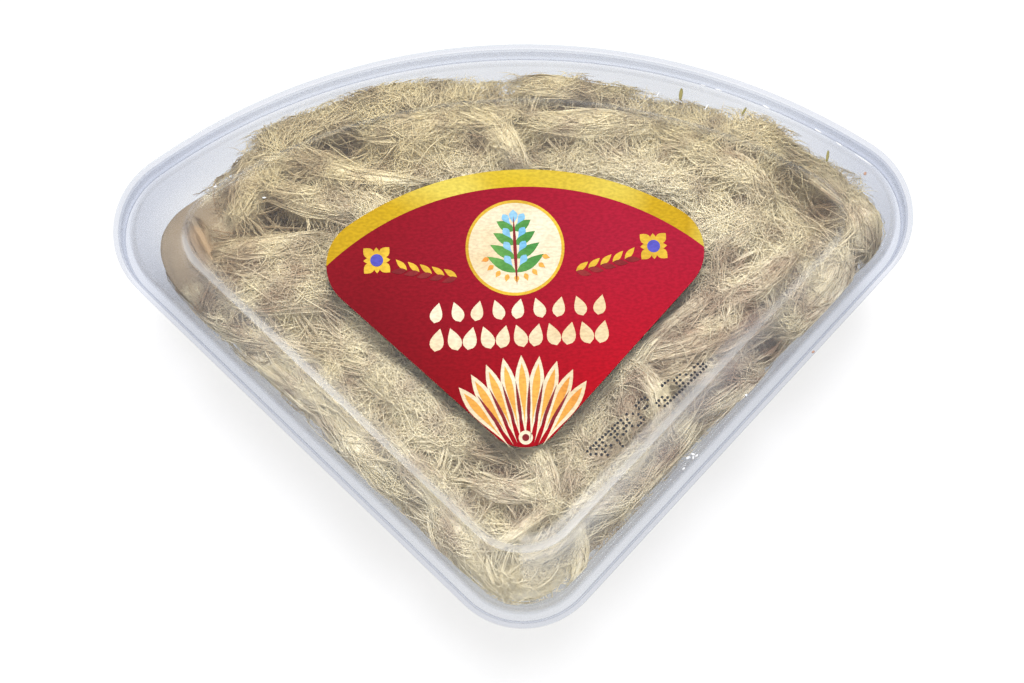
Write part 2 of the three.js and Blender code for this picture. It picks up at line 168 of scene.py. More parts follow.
# Halva: the same core, hollows and locks as the CAD model's.
SEED = 42
CROWN_HEIGHT = 35.4
SHOULDER_START = 4.0
SHOULDER_WIDTH = 17.0
SHOULDER_DROP = 7.5
RELIEF = 0.9
CORE_SINK = 1.6
GRAIN_FALLOFF = 1.5
GRAIN_SOFTNESS = 20.0
LOCK_HALF_HEIGHT = 2.4
LOCK_END_WIDTH = 0.3
MAIN_LOCK_RISE = 1.2
FILL_LENGTH = 24.0
FILL_HALF_WIDTH = 3.6
FILL_PITCH = 25.0
FILL_ROW_PITCH = 19.0
FILL_MARGIN = 7.0
FILL_TURN = 0.9
FILL_BEND = 0.04
FILL_LIFT = 1.2
FILL_SPREAD = 0.3
FIELD_HALF_WIDTH = 80.0
FIELD_START = 9.0
WALL_LOCKS = 16
WALL_LOCK_HALF_WIDTH = 5.0
WALL_MIDDLE = 18.0
HOLLOWS = (  # middle, direction in degrees, radius along it and across it, depth
    (-36.5, 41, 15, 5.5, 2.6, 8), (-46, 35, 0, 3.2, 2.2, 5), (-47.5, 26, -8, 7.5, 3.6, 6),
    (63.5, 27.5, -50, 8.5, 5, 9), (20, 49.5, -4, 13, 2.6, 7), (47.5, 12.3, 42, 5, 1.6, 6),
    (52.5, -4.6, 36, 5, 2, 7), (20.5, -16.5, 72, 4.5, 1.6, 6), (-5, -25.5, -20, 7, 3.4, 6),
    (-71, 25, 62, 13, 7.5, 3.5),
)
MAIN_LOCKS = (  # middle, direction in degrees, length, bend, half width
    (33, 0.5, 42, 38, 0, 2.3), (47, 7, 27, 26, 0.015, 3.3), (38, -3.2, 17, 34, 0.006, 3.5),
    (42, -8.5, 14, 26, 0.004, 2.8), (43.5, -13.5, 28, 20, 0.012, 2.7),
    (28, -14, -68, 26, -0.045, 2.1), (27.5, -27.5, 52, 28, 0.002, 2.8),
    (64.5, 6, 55, 24, 0.03, 3.8), (73, 22, 105, 18, 0.02, 3.2), (66.5, 33, -48, 20, -0.02, 2.6),
    (54, 40, -12, 26, -0.012, 3.6), (46, 33, -35, 22, -0.008, 3.2),
    (-3, 42.5, -50, 22, -0.014, 2.8), (17, 43.5, -2, 28, 0.004, 3), (14, 53, -4, 26, -0.004, 2.6),
    (-20, 45, 12, 24, 0.006, 3.2), (-31, 33, -14, 28, 0.012, 1.7), (-39, 28, -12, 26, 0.006, 3.2),
    (-47, 38, -2, 22, -0.024, 2.5), (-42, 46, 20, 26, 0, 3.4), (-23, 52, 12, 22, 0, 3.2),
    (-55, 32, 78, 16, 0.02, 3.6), (-53, 17.5, 6, 26, 0.006, 3.3), (-50, 11.5, -12, 26, -0.006, 3.2),
    (-64, 19, -62, 16, 0, 2.4), (-54, 0, -26, 26, 0.008, 2.4), (-47, -8, -38, 24, -0.006, 3.2),
    (-33, -22, -46, 24, 0, 3.4), (-20, -30, -50, 24, 0.004, 2.4), (-12, -41, -58, 28, 0.008, 3.4),
    (-2, -33, -8, 15, 0, 2.4), (1, -39.5, 36, 18, 0, 1.5), (4.5, -30, -78, 18, 0.006, 2.3),
    (17, -36, 12, 16, 0, 2.2), (11.5, -44, 88, 16, 0.03, 1.6),
)
# What only the scene has: a bare corner, a higher far edge, shades and fine strands.
CORNER_HOLLOW = (-73, 22, 14)
CORNER_CLEAR = 1.2
FAR_LIFT = 4.0
FAR_LIFT_START = 4.0
FAR_LIFT_WIDTH = 14.0
FAR_LIFT_REACH = 62.0
FAR_LIFT_FADE = 12.0
BODY_RINGS = 22
BODY_SIDES = 16
BODY_SHARE = 0.9
BED_POINTS = 320
BED_SIDE_RINGS = 16
BED_TOP_RINGS = 95
BED_TOP = 26.0
SIDE_TOP = 21.0
STRAND_RADIUS = 0.1
STRAND_POINTS = 7
MAIN_STRAND_DENSITY = 1.8  # strands for each square mm of a main lock's length by half width
FILL_LOCK_STRANDS = 60
WISPS = 480
WISP_STRANDS = 8
WHISKERS = 10800
WHISKER_POINTS = 4
FRINGE_STRANDS = 3600
FRINGE_TUFTS = 90
WALL_LOCK_STRANDS = 60
WALL_LOCK_POINTS = 8
WALL_STRAND_RADIUS = 0.15
WALL_WISPS = 90
WALL_WISP_STRANDS = 12
WALL_WISP_SIZE = (2.0, 2.6)  # half width and half height
WALL_WISP_RADIUS = 0.14
WALL_BITE = 0.3  # how far the strands on the wall may reach into it
VALLEY_REACH = 3.0
GRID_REACH = (84, 62)
GRID_STEP = 0.5
HALVA_LOOKS = {
    "pale": (0.955, 0.882, 0.675, 1), "warm": (0.85, 0.747, 0.475, 1),
    "grey": (0.42, 0.258, 0.165, 1), "brown": (0.39, 0.265, 0.145, 1),
}
# The bed shows between the strands, so its dark looks are darker: painted shade.
BED_LOOKS = {**HALVA_LOOKS, "grey": (0.34, 0.215, 0.14, 1), "brown": (0.30, 0.22, 0.13, 1)}
# Partly painted shade and painted light, partly the halva's own tone: the bare left corner's zone is
# painted shade.
SHADES = (  # middle, radius and how much darker the halva is there
    (0, -56, 12, -1.2), (-2, -35, 11, 0.14), (-34, -22, 14, -0.12), (45, -5, 15, 0.4),
    (-75, 23, 15, 1.6), (72, 18, 13, 0.1), (-48, 27, 9, -0.1), (22, -22, 10, 0.16),
    (-42, 34, 13, 0.18), (26, 26, 15, -0.22), (-20, 28, 12, -0.12), (34, 4, 12, 0.14),
    (-50, 12, 12, 0.16),
)
SHADE_FOOT = 11.0
SHADE_RISE = 13.0
# Down the wall the halva is painted paler: painted light.
SIDE_PALENESS = 0.3
CLUMP_SEED = 11
CLUMP_WAVES = 18
CLUMP_LENGTHS = (5.0, 15.0)
CLUMP_TONE = 0.16
WHISKER_FLOOR = 0.45
WHISKER_ZONES = (  # middle and radius
    (42, 27, 15), (10, 44, 14), (-28, -20, 13), (-15, -33, 12), (17, -33, 11), (-45, 30, 12),
    (24, 22, 12), (46, -2, 8), (-60, 8, 8), (-20, 50, 10), (40, 46, 10), (60, 35, 10),
)

# Studio, in metres, and the camera, in millimetres like the rest.
FLOOR_REACH = 1.5
FLOOR_SINK = 0.0002
FLOOR_COLOUR = (0.16, 0.16, 0.16, 1)
FLOOR_GLOW = 0.71
SKY_COLOUR = (1.0, 0.987, 0.968, 1)
SKY_STRENGTH = 1.15
LIGHTS = (  # name, place, what it faces, size, power, and whether gloss mirrors it
    ("key", (0.03, 0.27, 0.76), (0, 0, 0.03), 0.22, 10.6, False),
    ("fill", (-0.4, -0.3, 0.7), (0, 0, 0.03), 0.5, 1.0, False),
    ("shine", (-0.5, 0.7, 0.55), (0, 0, 0.04), 0.25, 1.5, True),
)
CAMERA_AIM = (-1.1, 63.4)  # from the fan's apex, on the rim's level
CAMERA_DISTANCE = 300.0
CAMERA_TILT = math.radians(12.1)
CAMERA_SIDE = math.radians(-0.5)
CAMERA_ROLL = math.radians(1.6)
CAMERA_LENS = 52.73


# ---- meshes ----

def add_piece(mesh, material, slot, values):
    """A mesh made into a piece that rides on the one body, with numbers that its material reads."""
    mesh.materials.append(material)
    for name, numbers in values.items():
        numbers = np.asarray(numbers, np.float32)
        kind, field = ("FLOAT", "value") if numbers.ndim == 1 else ("FLOAT_VECTOR", "vector")
        mesh.attributes.new(name, kind, "POINT").data.foreach_set(field, numbers.ravel())
    piece = bpy.data.objects.new(mesh.name, mesh)
    bpy.context.scene.collection.objects.link(piece)
    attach(piece, "root")
    return piece


def make_piece(name, vertices, faces, material, slot, smooth=True, **values):
    """A piece from vertices in millimetres and faces."""
    mesh = bpy.data.meshes.new(name)
    mesh.from_pydata((np.asarray(vertices) * MM).tolist(), [], faces)
    mesh.update()
    mesh.polygons.foreach_set("use_smooth", [smooth] * len(mesh.polygons))
    return add_piece(mesh, material, slot, values)


def make_triangles(name, vertices, triangles, material, **values):
    """A large piece of the halva from arrays of vertices and triangles."""
    mesh = bpy.data.meshes.new(name)
    mesh.vertices.add(len(vertices))
    mesh.vertices.foreach_set("co", (vertices * MM).astype(np.float32).ravel())
    mesh.loops.add(triangles.size)
    mesh.loops.foreach_set("vertex_index", triangles.astype(np.int32).ravel())
    mesh.polygons.add(len(triangles))
    mesh.polygons.foreach_set("loop_start", np.arange(0, triangles.size, 3, dtype=np.int32))
    mesh.polygons.foreach_set("use_smooth", np.ones(len(triangles), bool))
    mesh.update(calc_edges=True)
    mesh.validate()
    return add_piece(mesh, material, "halva_strands", values)


def fan_outline(apex_y, radius, inset, apex_radius, corner_radius):
    """The fan's outline as an array of x, y, counter-clockwise from the apex's left end."""
    reach = radius - inset - corner_radius
    depth = inset + corner_radius
    along = math.sqrt(reach ** 2 - depth ** 2)
    corner_x = along * SIN - depth * COS
    corner_y = along * COS + depth * SIN
    turn = math.atan2(corner_y, corner_x)

    def arc(x, y, r, start, end, steps):
        angles = np.linspace(start, end, steps + 1)
        return np.stack([x + r * np.cos(angles), y + r * np.sin(angles)], 1)

    return np.concatenate([
        arc(0, apex_y + (inset + apex_radius) / SIN, apex_radius,
            -math.pi + HALF_ANGLE, -HALF_ANGLE, ROUND_STEPS),
        arc(corner_x, apex_y + corner_y, corner_radius, -HALF_ANGLE, turn, ROUND_STEPS),
        arc(0, apex_y, radius - inset, turn, math.pi - turn, ARC_STEPS)[1:-1],
        arc(-corner_x, apex_y + corner_y, corner_radius,
            math.pi - turn, math.pi + HALF_ANGLE, ROUND_STEPS),
    ])


def at_height(outline, z):
    return np.column_stack([outline, np.full(len(outline), z)])


def wall_ring(point):
    """The ring round the tub or the rim at a profile's point: an inset and a height."""
    inset, z = point[:2]
    return at_height(
        fan_outline(APEX_Y, FAN_RADIUS, inset, APEX_RADIUS - inset, CORNER_RADIUS - inset), z
    )


def panel_ring(point):
    """The same round the raised panel, whose corners are rounder."""
    inset, z = point[:2]
    grow = PANEL_INSET - inset
    return at_height(
        fan_outline(APEX_Y, FAN_RADIUS, inset, PANEL_APEX_RADIUS + grow, PANEL_CORNER_RADIUS + grow), z
    )


def oval(length, width, count):
    """A ring of points round an oval, counter-clockwise."""
    angles = np.linspace(0, 2 * math.pi, count, endpoint=False)
    return np.stack([length / 2 * np.cos(angles), width / 2 * np.sin(angles)], 1)


def turned(points, turn, place=(0, 0)):
    """Points turned by an angle about the origin and then moved to a place."""
    x, y = np.asarray(points, float).T
    c, s = math.cos(turn), math.sin(turn)
    return np.stack([place[0] + x * c - y * s, place[1] + x * s + y * c], 1)


def nearness(x, y, middle_x, middle_y, radius):
    """From 1 at a middle softly down towards 0 beyond a radius from it."""
    return np.exp(-((x - middle_x) ** 2 + (y - middle_y) ** 2) / radius ** 2)


def looped(ring):
    """A ring with its first point once more at its end."""
    return np.concatenate([ring, ring[:1]])


def runs(loop):
    """How far along a line each of its points lies."""
    return np.concatenate([[0], np.cumsum(np.linalg.norm(np.diff(loop, axis=0), axis=1))])


def evenly(ring, count):
    """A closed ring's points moved to even steps along it."""
    loop = looped(ring)
    run = runs(loop)
    at = np.linspace(0, run[-1], count, endpoint=False)
    return np.stack([np.interp(at, run, loop[:, k]) for k in range(3)], 1)


def loft(rings):
    """Vertices and faces of a closed solid through rings of equal count, capped at both ends."""
    count = len(rings[0])
    here = np.arange(count)
    ahead = (here + 1) % count
    faces = [list(reversed(range(count)))]
    for level in range(len(rings) - 1):
        low, high = level * count, (level + 1) * count
        faces += np.stack([low + here, low + ahead, high + ahead, high + here], 1).tolist()
    faces.append(list(range((len(rings) - 1) * count, len(rings) * count)))
    return np.concatenate(rings), faces


def gather(solids):
    """Many solids' vertices and faces as one mesh's."""
    vertices, faces, first = [], [], 0
    for points, sides in solids:
        vertices.append(points)
        faces += [[first + k for k in side] for side in sides]
        first += len(points)
    return np.concatenate(vertices), faces


def rounded(points, radius, steps=3):
    """A profile with every inner corner rounded, by no more than its sides allow."""
    points = [np.array(p, float) for p in points]
    result = [points[0]]
    for before, corner, after in zip(points, points[1:], points[2:]):
        back, on = before - corner, after - corner
        back_run, on_run = np.linalg.norm(back[:2]), np.linalg.norm(on[:2])
        cut = min(radius, 0.45 * back_run, 0.45 * on_run)
        start = corner + back / back_run * cut
        end = corner + on / on_run * cut
        for t in np.linspace(0, 1, steps + 1):
            result.append((1 - t) ** 2 * start + 2 * t * (1 - t) * corner + t * t * end)
    result.append(points[-1])
    return result


# ---- materials ----

def new_material(name):
    material = bpy.data.materials.new(name)
    material.use_nodes = True
    material.node_tree.nodes.clear()
    return material, material.node_tree


def finished(material, tree, shader):
    output = tree.nodes.new("ShaderNodeOutputMaterial")
    tree.links.new(shader.outputs[0], output.inputs["Surface"])
    return material


def add(tree, kind, inputs=None, **settings):
    """A new node: settings are its own properties, and inputs its sockets' values or links."""
    node = tree.nodes.new("ShaderNode" + kind)
    for name, value in settings.items():
        setattr(node, name, value)
    for name, value in (inputs or {}).items():
        if isinstance(value, bpy.types.NodeSocket):
            tree.links.new(value, node.inputs[name])
        else:
            node.inputs[name].default_value = value
    return node


def own_place(tree):
    return add(tree, "TexCoord").outputs["Object"]


def attribute(tree, name, output="Fac"):
    return add(tree, "Attribute", attribute_name=name).outputs[output]


def noise(tree, place, scale, detail, roughness=0.5):
    inputs = {"Vector": place, "Scale": scale, "Detail": detail, "Roughness": roughness}
    return add(tree, "TexNoise", inputs).outputs["Fac"]


def scaled(tree, vector, factors):
    return add(tree, "VectorMath", {0: vector, 1: factors}, operation="MULTIPLY").outputs["Vector"]


def maths(tree, operation, *values, clamp=False):
    return add(tree, "Math", dict(enumerate(values)), operation=operation, use_clamp=clamp).outputs[0]


def ramp(tree, value, low, high, start=0.0, end=1.0):
    """The value brought from the range low to high to the range start to end."""
    return add(tree, "MapRange", {
        "Value": value, "From Min": low, "From Max": high, "To Min": start, "To Max": end,
    }).outputs["Result"]


def mix_colours(tree, factor, first, second):
    """A blend of two colours, each a value or a socket."""
    # The colour sockets of a Mix node: Factor, then A and B, which share their names with others.
    return add(tree, "Mix", {0: factor, 6: first, 7: second}, data_type="RGBA").outputs[2]


def mix_shaders(tree, factor, first, second):
    return add(tree, "MixShader", {"Fac": factor, 1: first.outputs[0], 2: second.outputs[0]})


def plastic_material(name, tint, haze, roughness):
    """Thin, clear, slightly milky plastic: whiter where it is seen along its surface.

    Its "milk" attribute is a gain on that, "fog" is milk of its own, and "depth" tints it as a
    thick wall seen end on is.
    """
    material, tree = new_material(name)
    gain, fog, depth = (attribute(tree, key) for key in ("milk", "fog", "depth"))
    slant = add(tree, "LayerWeight", {"Blend": 0.5}).outputs["Facing"]
    edge = ramp(tree, slant, 0.12, 0.9, 0.0, EDGE_HAZE)
    share = maths(tree, "MULTIPLY_ADD", edge, gain, maths(tree, "ADD", fog, haze))
    streak = ramp(tree, noise(tree, own_place(tree), 26.0, 1.0), 0.35, 0.65, 0.75, 1.25)
    milkiness = maths(tree, "MULTIPLY", share, streak, clamp=True)
    grazing = ramp(tree, slant, 0.3, 1.0)
    through = mix_colours(tree, grazing, mix_colours(tree, depth, tint, DEEP), GRAZED)
    clear = add(tree, "BsdfTransparent", {"Color": through})
    # Where the gain is high, as on the lid's slope, the milk is painted whiter: a painted highlight.
    colour = mix_colours(tree, ramp(tree, gain, 1.0, 2.0), MILK, WHITE)
    near = add(tree, "BsdfDiffuse", {"Color": colour})
    far = add(tree, "BsdfTranslucent", {"Color": colour})
    body = mix_shaders(tree, milkiness, clear, mix_shaders(tree, 0.45, near, far))
    gloss = add(tree, "BsdfGlossy", {"Color": (1, 1, 1, 1), "Roughness": roughness})
    # Schlick's reflection, which unlike a Fresnel node is the same on a sheet's inner side.
    shine = maths(tree, "MULTIPLY_ADD", maths(tree, "POWER", slant, 5.0), 0.3, 0.014)
    return finished(material, tree, mix_shaders(tree, shine, body, gloss))


def halva_colour(tree, place, tone, looks):
    """Halva's colour: warmer to the upper left and by the long arc, and darker with tone, which
    carries painted shade.
    """
    drift = noise(tree, place, 55.0, 2.0)
    slanted = add(tree, "VectorMath", {0: place, 1: (-0.8, 0.5, 0.0)}, operation="DOT_PRODUCT")
    side = ramp(tree, slanted.outputs["Value"], 0.012, 0.075)
    reach = add(tree, "VectorMath", {0: place, 1: (0.0, APEX_Y * MM, 0.03)}, operation="DISTANCE")
    rim = ramp(tree, reach.outputs["Value"], 0.098, 0.122)
    both = maths(tree, "MULTIPLY_ADD", rim, 1.1, side)
    eased = ramp(tree, maths(tree, "MULTIPLY_ADD", drift, 1.6, both), 0.55, 1.9)
    base = mix_colours(tree, eased, looks["pale"], looks["warm"])
    shade = mix_colours(tree, eased, looks["grey"], looks["brown"])
    return mix_colours(tree, tone, base, shade)


def halva_material(name, looks, glow, fibres=None, gaps=(0, 0), gap_painted_shade=0.0, relief_depth=0.0):
    """Dull, slightly translucent sugar fibre, in each vertex's tone, which holds painted shade as well
    as the halva's own tones.

    Where fibres draws strands over the surface, the gaps between them have painted shade and lie
    deeper.
    """
    material, tree = new_material(name)
    place = own_place(tree)
    tone = attribute(tree, "tone")
    normal = {}
    if fibres is not None:
        fine = fibres(tree, place)
        # Painted shade in the gaps between the fine strands.
        tone = maths(tree, "MULTIPLY_ADD", ramp(tree, fine, *gaps), gap_painted_shade, tone, clamp=True)
        relief_inputs = {"Height": fine, "Strength": 0.8, "Distance": relief_depth}
        normal = {"Normal": add(tree, "Bump", relief_inputs).outputs["Normal"]}
    colour = halva_colour(tree, place, tone, looks)
    surface = add(tree, "BsdfPrincipled", {
        "Base Color": colour, "Roughness": 0.5, "Specular IOR Level": 0.35, **normal,
    })
    shining = add(tree, "BsdfTranslucent", {"Color": colour, **normal})
    return finished(material, tree, mix_shaders(tree, glow, surface, shining))


def skein_fibres(tree, _place):
    """Fine strands that run along a lock's smooth body."""
    lines = scaled(tree, attribute(tree, "flow", "Vector"), (0.13, 3.6, 9.1))
    return noise(tree, lines, 1.0, 3.0, 0.65)


def felt_fibres(tree, place):
    """Fine fibres that cross one another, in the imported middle."""
    fine = None
    for degrees in (15, 70, 140):
        across = add(tree, "VectorRotate", {"Vector": place, "Angle": math.radians(degrees)})
        drawn = scaled(tree, across.outputs["Vector"], (182.0, 2600.0, 2600.0))
        layer = noise(tree, drawn, 1.0, 2.0, 0.6)
        fine = layer if fine is None else maths(tree, "MAXIMUM", fine, layer)
    return fine


def paper_material(name, paint, shine):
    """Satin paper with a fine, crosswise emboss, whose dips have painted shade."""
    material, tree = new_material(name)
    place = own_place(tree)
    weave = noise(tree, scaled(tree, place, (1100.0, 2100.0, 1000.0)), 1.0, 1.0)
    normal = add(tree, "Bump", {"Height": weave, "Strength": 0.45, "Distance": 0.00012})
    # Painted shade: the emboss's dips are darker.
    shade = ramp(tree, weave, 0.35, 0.65, 0.86, 1.06)
    emboss_shaded = add(tree, "HueSaturation", {"Color": paint(tree, place), "Value": shade})
    surface = add(tree, "BsdfPrincipled", {
        "Base Color": emboss_shaded.outputs["Color"], "Roughness": 0.42, "Specular IOR Level": shine,
        "Normal": normal.outputs["Normal"],
    })
    return finished(material, tree, surface)


def print_material(name, first, second):
    """A printed colour that drifts between two shades."""
    def paint(tree, place):
        share = ramp(tree, noise(tree, place, 60.0, 2.0), 0.35, 0.65)
        return mix_colours(tree, share, first + (1,), second + (1,))

    return paper_material("label_" + name, paint, 0.12)


def gold_paint_and_sheen(tree, place):
    """The gold crescent, with painted highlight: painted bright in its middle and browner towards both
    ends, with pale patches of painted sheen.
    """
    spot = add(tree, "SeparateXYZ", {"Vector": place})
    reach = maths(tree, "ABSOLUTE", spot.outputs["X"])
    # Painted sheen: pale patches from this noise, over a painted brighter middle.
    sheen = noise(tree, place, 45.0, 1.0)
    share = ramp(tree, maths(tree, "MULTIPLY_ADD", sheen, 0.03, reach), 0.012, 0.05)
    colour = mix_colours(tree, share, (0.283, 0.202, 0.009, 1), (0.238, 0.143, 0.005, 1))
    return mix_colours(tree, ramp(tree, sheen, 0.46, 0.68), colour, (0.32, 0.262, 0.045, 1))


def field_paint_and_sheen(tree, place):
    """The label's red, with painted light: crimson with a painted sheen above, painted brighter to the
    right and darker below left.
    """
    spot = add(tree, "SeparateXYZ", {"Vector": place})
    # Painted highlight to the right and above, painted shade below left.
    bright = ramp(tree, spot.outputs["X"], -0.03, 0.02)
    low = ramp(tree, spot.outputs["Y"], 0.016, -0.016)
    crimson = mix_colours(tree, bright, (0.112, 0.003, 0.007, 1), (0.172, 0.005, 0.016, 1))
    scarlet = mix_colours(tree, bright, (0.066, 0.0016, 0.003, 1), (0.215, 0.0016, 0.0055, 1))
    return mix_colours(tree, low, crimson, scarlet)


def speck_material(name, colour, roughness):
    """A mottled colour for what is small."""
    material, tree = new_material(name)
    mottle = noise(tree, own_place(tree), 900.0, 2.0)
    paler = tuple(1.35 * c for c in colour)
    surface = add(tree, "BsdfPrincipled", {
        "Base Color": mix_colours(tree, mottle, colour + (1,), paler + (1,)), "Roughness": roughness,
    })
    return finished(material, tree, surface)


# ---- tub and lid ----

def wall_inset(z):
    span = RIM_HEIGHT - FOOT_RADIUS
    return WALL_FOOT_INSET - (WALL_FOOT_INSET - WALL_TOP_INSET) * (z - FOOT_RADIUS) / span


def foot_round(radius, wall, floor, steps):
    angles = np.linspace(0, math.pi / 2, steps + 1)
    return [
        (wall + radius * (1 - math.sin(a)), floor + radius * (1 - math.cos(a))) for a in angles
    ]


def make_shell(name, rings, material, slot, **values):
    """A closed shell through rings, no wider than the CAD model."""
    vertices, faces = loft(rings)
    vertices[:, 0] = np.clip(vertices[:, 0], cad_box[0][0] / MM, cad_box[1][0] / MM)
    return make_piece(name, vertices, faces, material, slot, **values)


def make_tub(material):
    lip = RIM_HEIGHT - LID_SHEET - CLEARANCE
    bead_foot = lip - BEAD_DEPTH
    inner = WALL_TOP_INSET + WALL_THICKNESS
    rim = rounded([
        (wall_inset(bead_foot - 3.0), bead_foot - 3.0),
        (wall_inset(bead_foot - 0.6), bead_foot - 0.6),
        (BEAD_OUTER_INSET, bead_foot),
        (BEAD_OUTER_INSET, lip),
        (inner, lip),
        (inner + 0.1, lip - 2.0),
    ], 0.5)
    inner_foot = foot_round(
        FOOT_RADIUS - FLOOR_THICKNESS, WALL_FOOT_INSET + WALL_THICKNESS, FLOOR_THICKNESS, 6
    )
    profile = foot_round(FOOT_RADIUS, WALL_FOOT_INSET, 0, 8) + rim + inner_foot[::-1]
    rings = [wall_ring(point) for point in profile]
    milk = np.full(len(rings) * len(rings[0]), TUB_MILK)
    tub = make_shell("tub_shell", rings, material, "tub_plastic", milk=milk)
    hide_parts("tub")


def lid_profiles():
    """The slope's underside, the rim and the slope's top: insets, heights, milk gains and tints."""
    tray = RIM_HEIGHT - TRAY_DEPTH
    tray_under = tray - LID_SHEET
    under = RIM_HEIGHT - LID_SHEET
    panel_under = PANEL_TOP - LID_SHEET
    skirt_foot = RIM_HEIGHT - SKIRT_DEPTH
    bead = RIM_HEIGHT - LID_BEAD_DEPTH
    plug = WALL_TOP_INSET + WALL_THICKNESS + CLEARANCE
    slope_under = rounded([
        (PANEL_INSET + 2.5, panel_under, 1, 0),
        (PANEL_INSET + 0.5, panel_under, 1, 0),
        (SLOPE_FOOT_INSET + 0.5, tray_under, 1, 0),
        (SLOPE_FOOT_INSET - 1.5, tray_under, 1, 0),
    ], 0.6)
    rim = rounded([
        (inset, z, RIM_MILK, tint) for inset, z, tint in (
            (plug + 2.5, tray_under, 0),
            (plug + 0.3, tray_under, 0),
            (plug, under, 0),
            (SKIRT_THICKNESS + 0.2, under, 0),
            (SKIRT_THICKNESS, under, 1),
            (SKIRT_THICKNESS, bead + 0.6, 1),
            (SKIRT_THICKNESS + LID_BEAD, bead, 1),
            (SKIRT_THICKNESS, bead - 0.8, 1),
            (SKIRT_THICKNESS, skirt_foot, 1),
            (0.0, skirt_foot, 1),
            (0.0, RIM_HEIGHT, 1),
            (SKIRT_THICKNESS, RIM_HEIGHT, 1),
            (SKIRT_THICKNESS + 0.3, RIM_HEIGHT, 0.1),
            (RIM_WIDTH, RIM_HEIGHT, 0.1),
            (RIM_WIDTH, tray, 0),
            (RIM_WIDTH + 2.0, tray, 0),
        )
    ], 0.6, 4)
    slope_top = rounded([
        (SLOPE_FOOT_INSET - 1.5, tray, 1, 0),
        (SLOPE_FOOT_INSET, tray, SLOPE_MILK_AND_SHEEN, 0),
        (PANEL_INSET, PANEL_TOP, 0.5 * SLOPE_MILK_AND_SHEEN, 0),
        (PANEL_INSET + 2.0, PANEL_TOP, 1, 0),
    ], 0.85, 5)
    return slope_under, rim, slope_top


def make_lid(material):
    """The lid, whose milky slope is clearer by the long arc and painted brighter on its straight
    sides, a painted highlight.
    """
    slope_under, rim, slope_top = lid_profiles()
    rings = [panel_ring(p) for p in slope_under] + [wall_ring(p) for p in rim]
    rings += [panel_ring(p) for p in slope_top]
    around = len(rings[0])
    x, y, _ = np.concatenate(rings).T
    _, _, gain, tint = np.repeat(slope_under + rim + slope_top, around, axis=0).T
    on_slope = np.ones(len(x), bool)
    on_slope[len(slope_under) * around:-len(slope_top) * around] = False
    # Partly painted highlight: the slope's milk, a real haze, is made stronger on the two straight
    # sides and fades towards the long arc.
    left, right = np.array(LEFT_SLOPE)[:, None], np.array(RIGHT_SLOPE)[:, None]
    end, run, own_fog = np.where(x < 0, left, right)
    fade = np.where(on_slope, np.clip((end - y) / run, 0.1, 1), 1)
    fog = CORNER_FOG * nearness(x, y, *CORNER_HOLLOW) + np.where(on_slope, own_fog * fade, 0)
    # The panel inside the slope is clear.
    fog[:around] = fog[-around:] = 0
    # The rim and the tray look deeper at the fan's two far corners.
    ends = np.where(on_slope, 0, np.clip((np.abs(x) - CORNERS_FROM) / CORNERS_RUN, 0, 1))
    lid = make_shell(
        "lid_shell", rings, material, "lid_plastic",
        milk=gain * fade, fog=fog, depth=np.clip(tint + ends, 0, 1),
    )
    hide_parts("lid")


# ---- label ----

def on_label(points):
    """Places given from the label's own apex, moved to where the label lies on the lid."""
    return turned(points, LABEL_TURN, LABEL_APEX)


def towards(degrees, reach):
    """The place that lies at a reach from the origin in a direction."""
    turn = math.radians(degrees)
    return reach * math.cos(turn), reach * math.sin(turn)


class Ink:
    """Flat printed shapes of one colour, each a thin closed solid, gathered into one piece."""

    def __init__(self, layer=0):
        self.layer = layer
        self.solids = []

    def heights(self):
        """The next shape's lower and upper face. Neighbours differ, so that no two coincide."""
        paper = PANEL_TOP + LABEL_THICKNESS
        step = (len(self.solids) + 1) % 6 / 8
        return paper - INK_THICKNESS / 2, paper + (1 + self.layer + step) * INK_THICKNESS

    def band(self, first, second):
        """A strip between two lines with as many points each."""
        low, high = self.heights()
        first, second = on_label(first), on_label(second)
        corners = ((first, low), (second, low), (second, high), (first, high))
        self.solids.append(loft(np.stack([at_height(line, z) for line, z in corners], 1)))

    def patch(self, outline):
        """A shape that its middle can see all of."""
        n = len(outline)
        heights = self.heights()
        lines = on_label(outline), on_label([np.mean(outline, axis=0)])
        faces = []
        for i in range(n):
            j = (i + 1) % n
            faces += [(i, j, n + j, n + i), (2 * n, j, i), (2 * n + 1, n + i, n + j)]
        self.solids.append(
            (np.concatenate([at_height(line, z) for line in lines for z in heights]), faces)
        )

    def disc(self, x, y, radius, steps=24):
        self.patch(oval(2 * radius, 2 * radius, steps) + (x, y))

    def ring(self, x, y, inner, outer, steps):
        unit = looped(oval(2, 2, steps))
        self.band(outer * unit + (x, y), inner * unit + (x, y))

    def leaf(self, x, y, degrees, length, width, blunt, steps=9):
        """A pointed leaf or petal from its base at x, y: widest at the blunt share of its length."""
        t = np.linspace(0, 1, steps)
        power = math.log(0.5) / math.log(blunt)
        edge = np.stack([length * t, width / 2 * np.sin(math.pi * t ** power)], 1)
        outline = np.concatenate([edge, (edge * (1, -1))[-2:0:-1]])[::-1]
        self.patch(turned(outline, math.radians(degrees), (x, y)))

    def make(self, name, material):
        make_piece(name, *gather(self.solids), material, "label_paper", smooth=False)


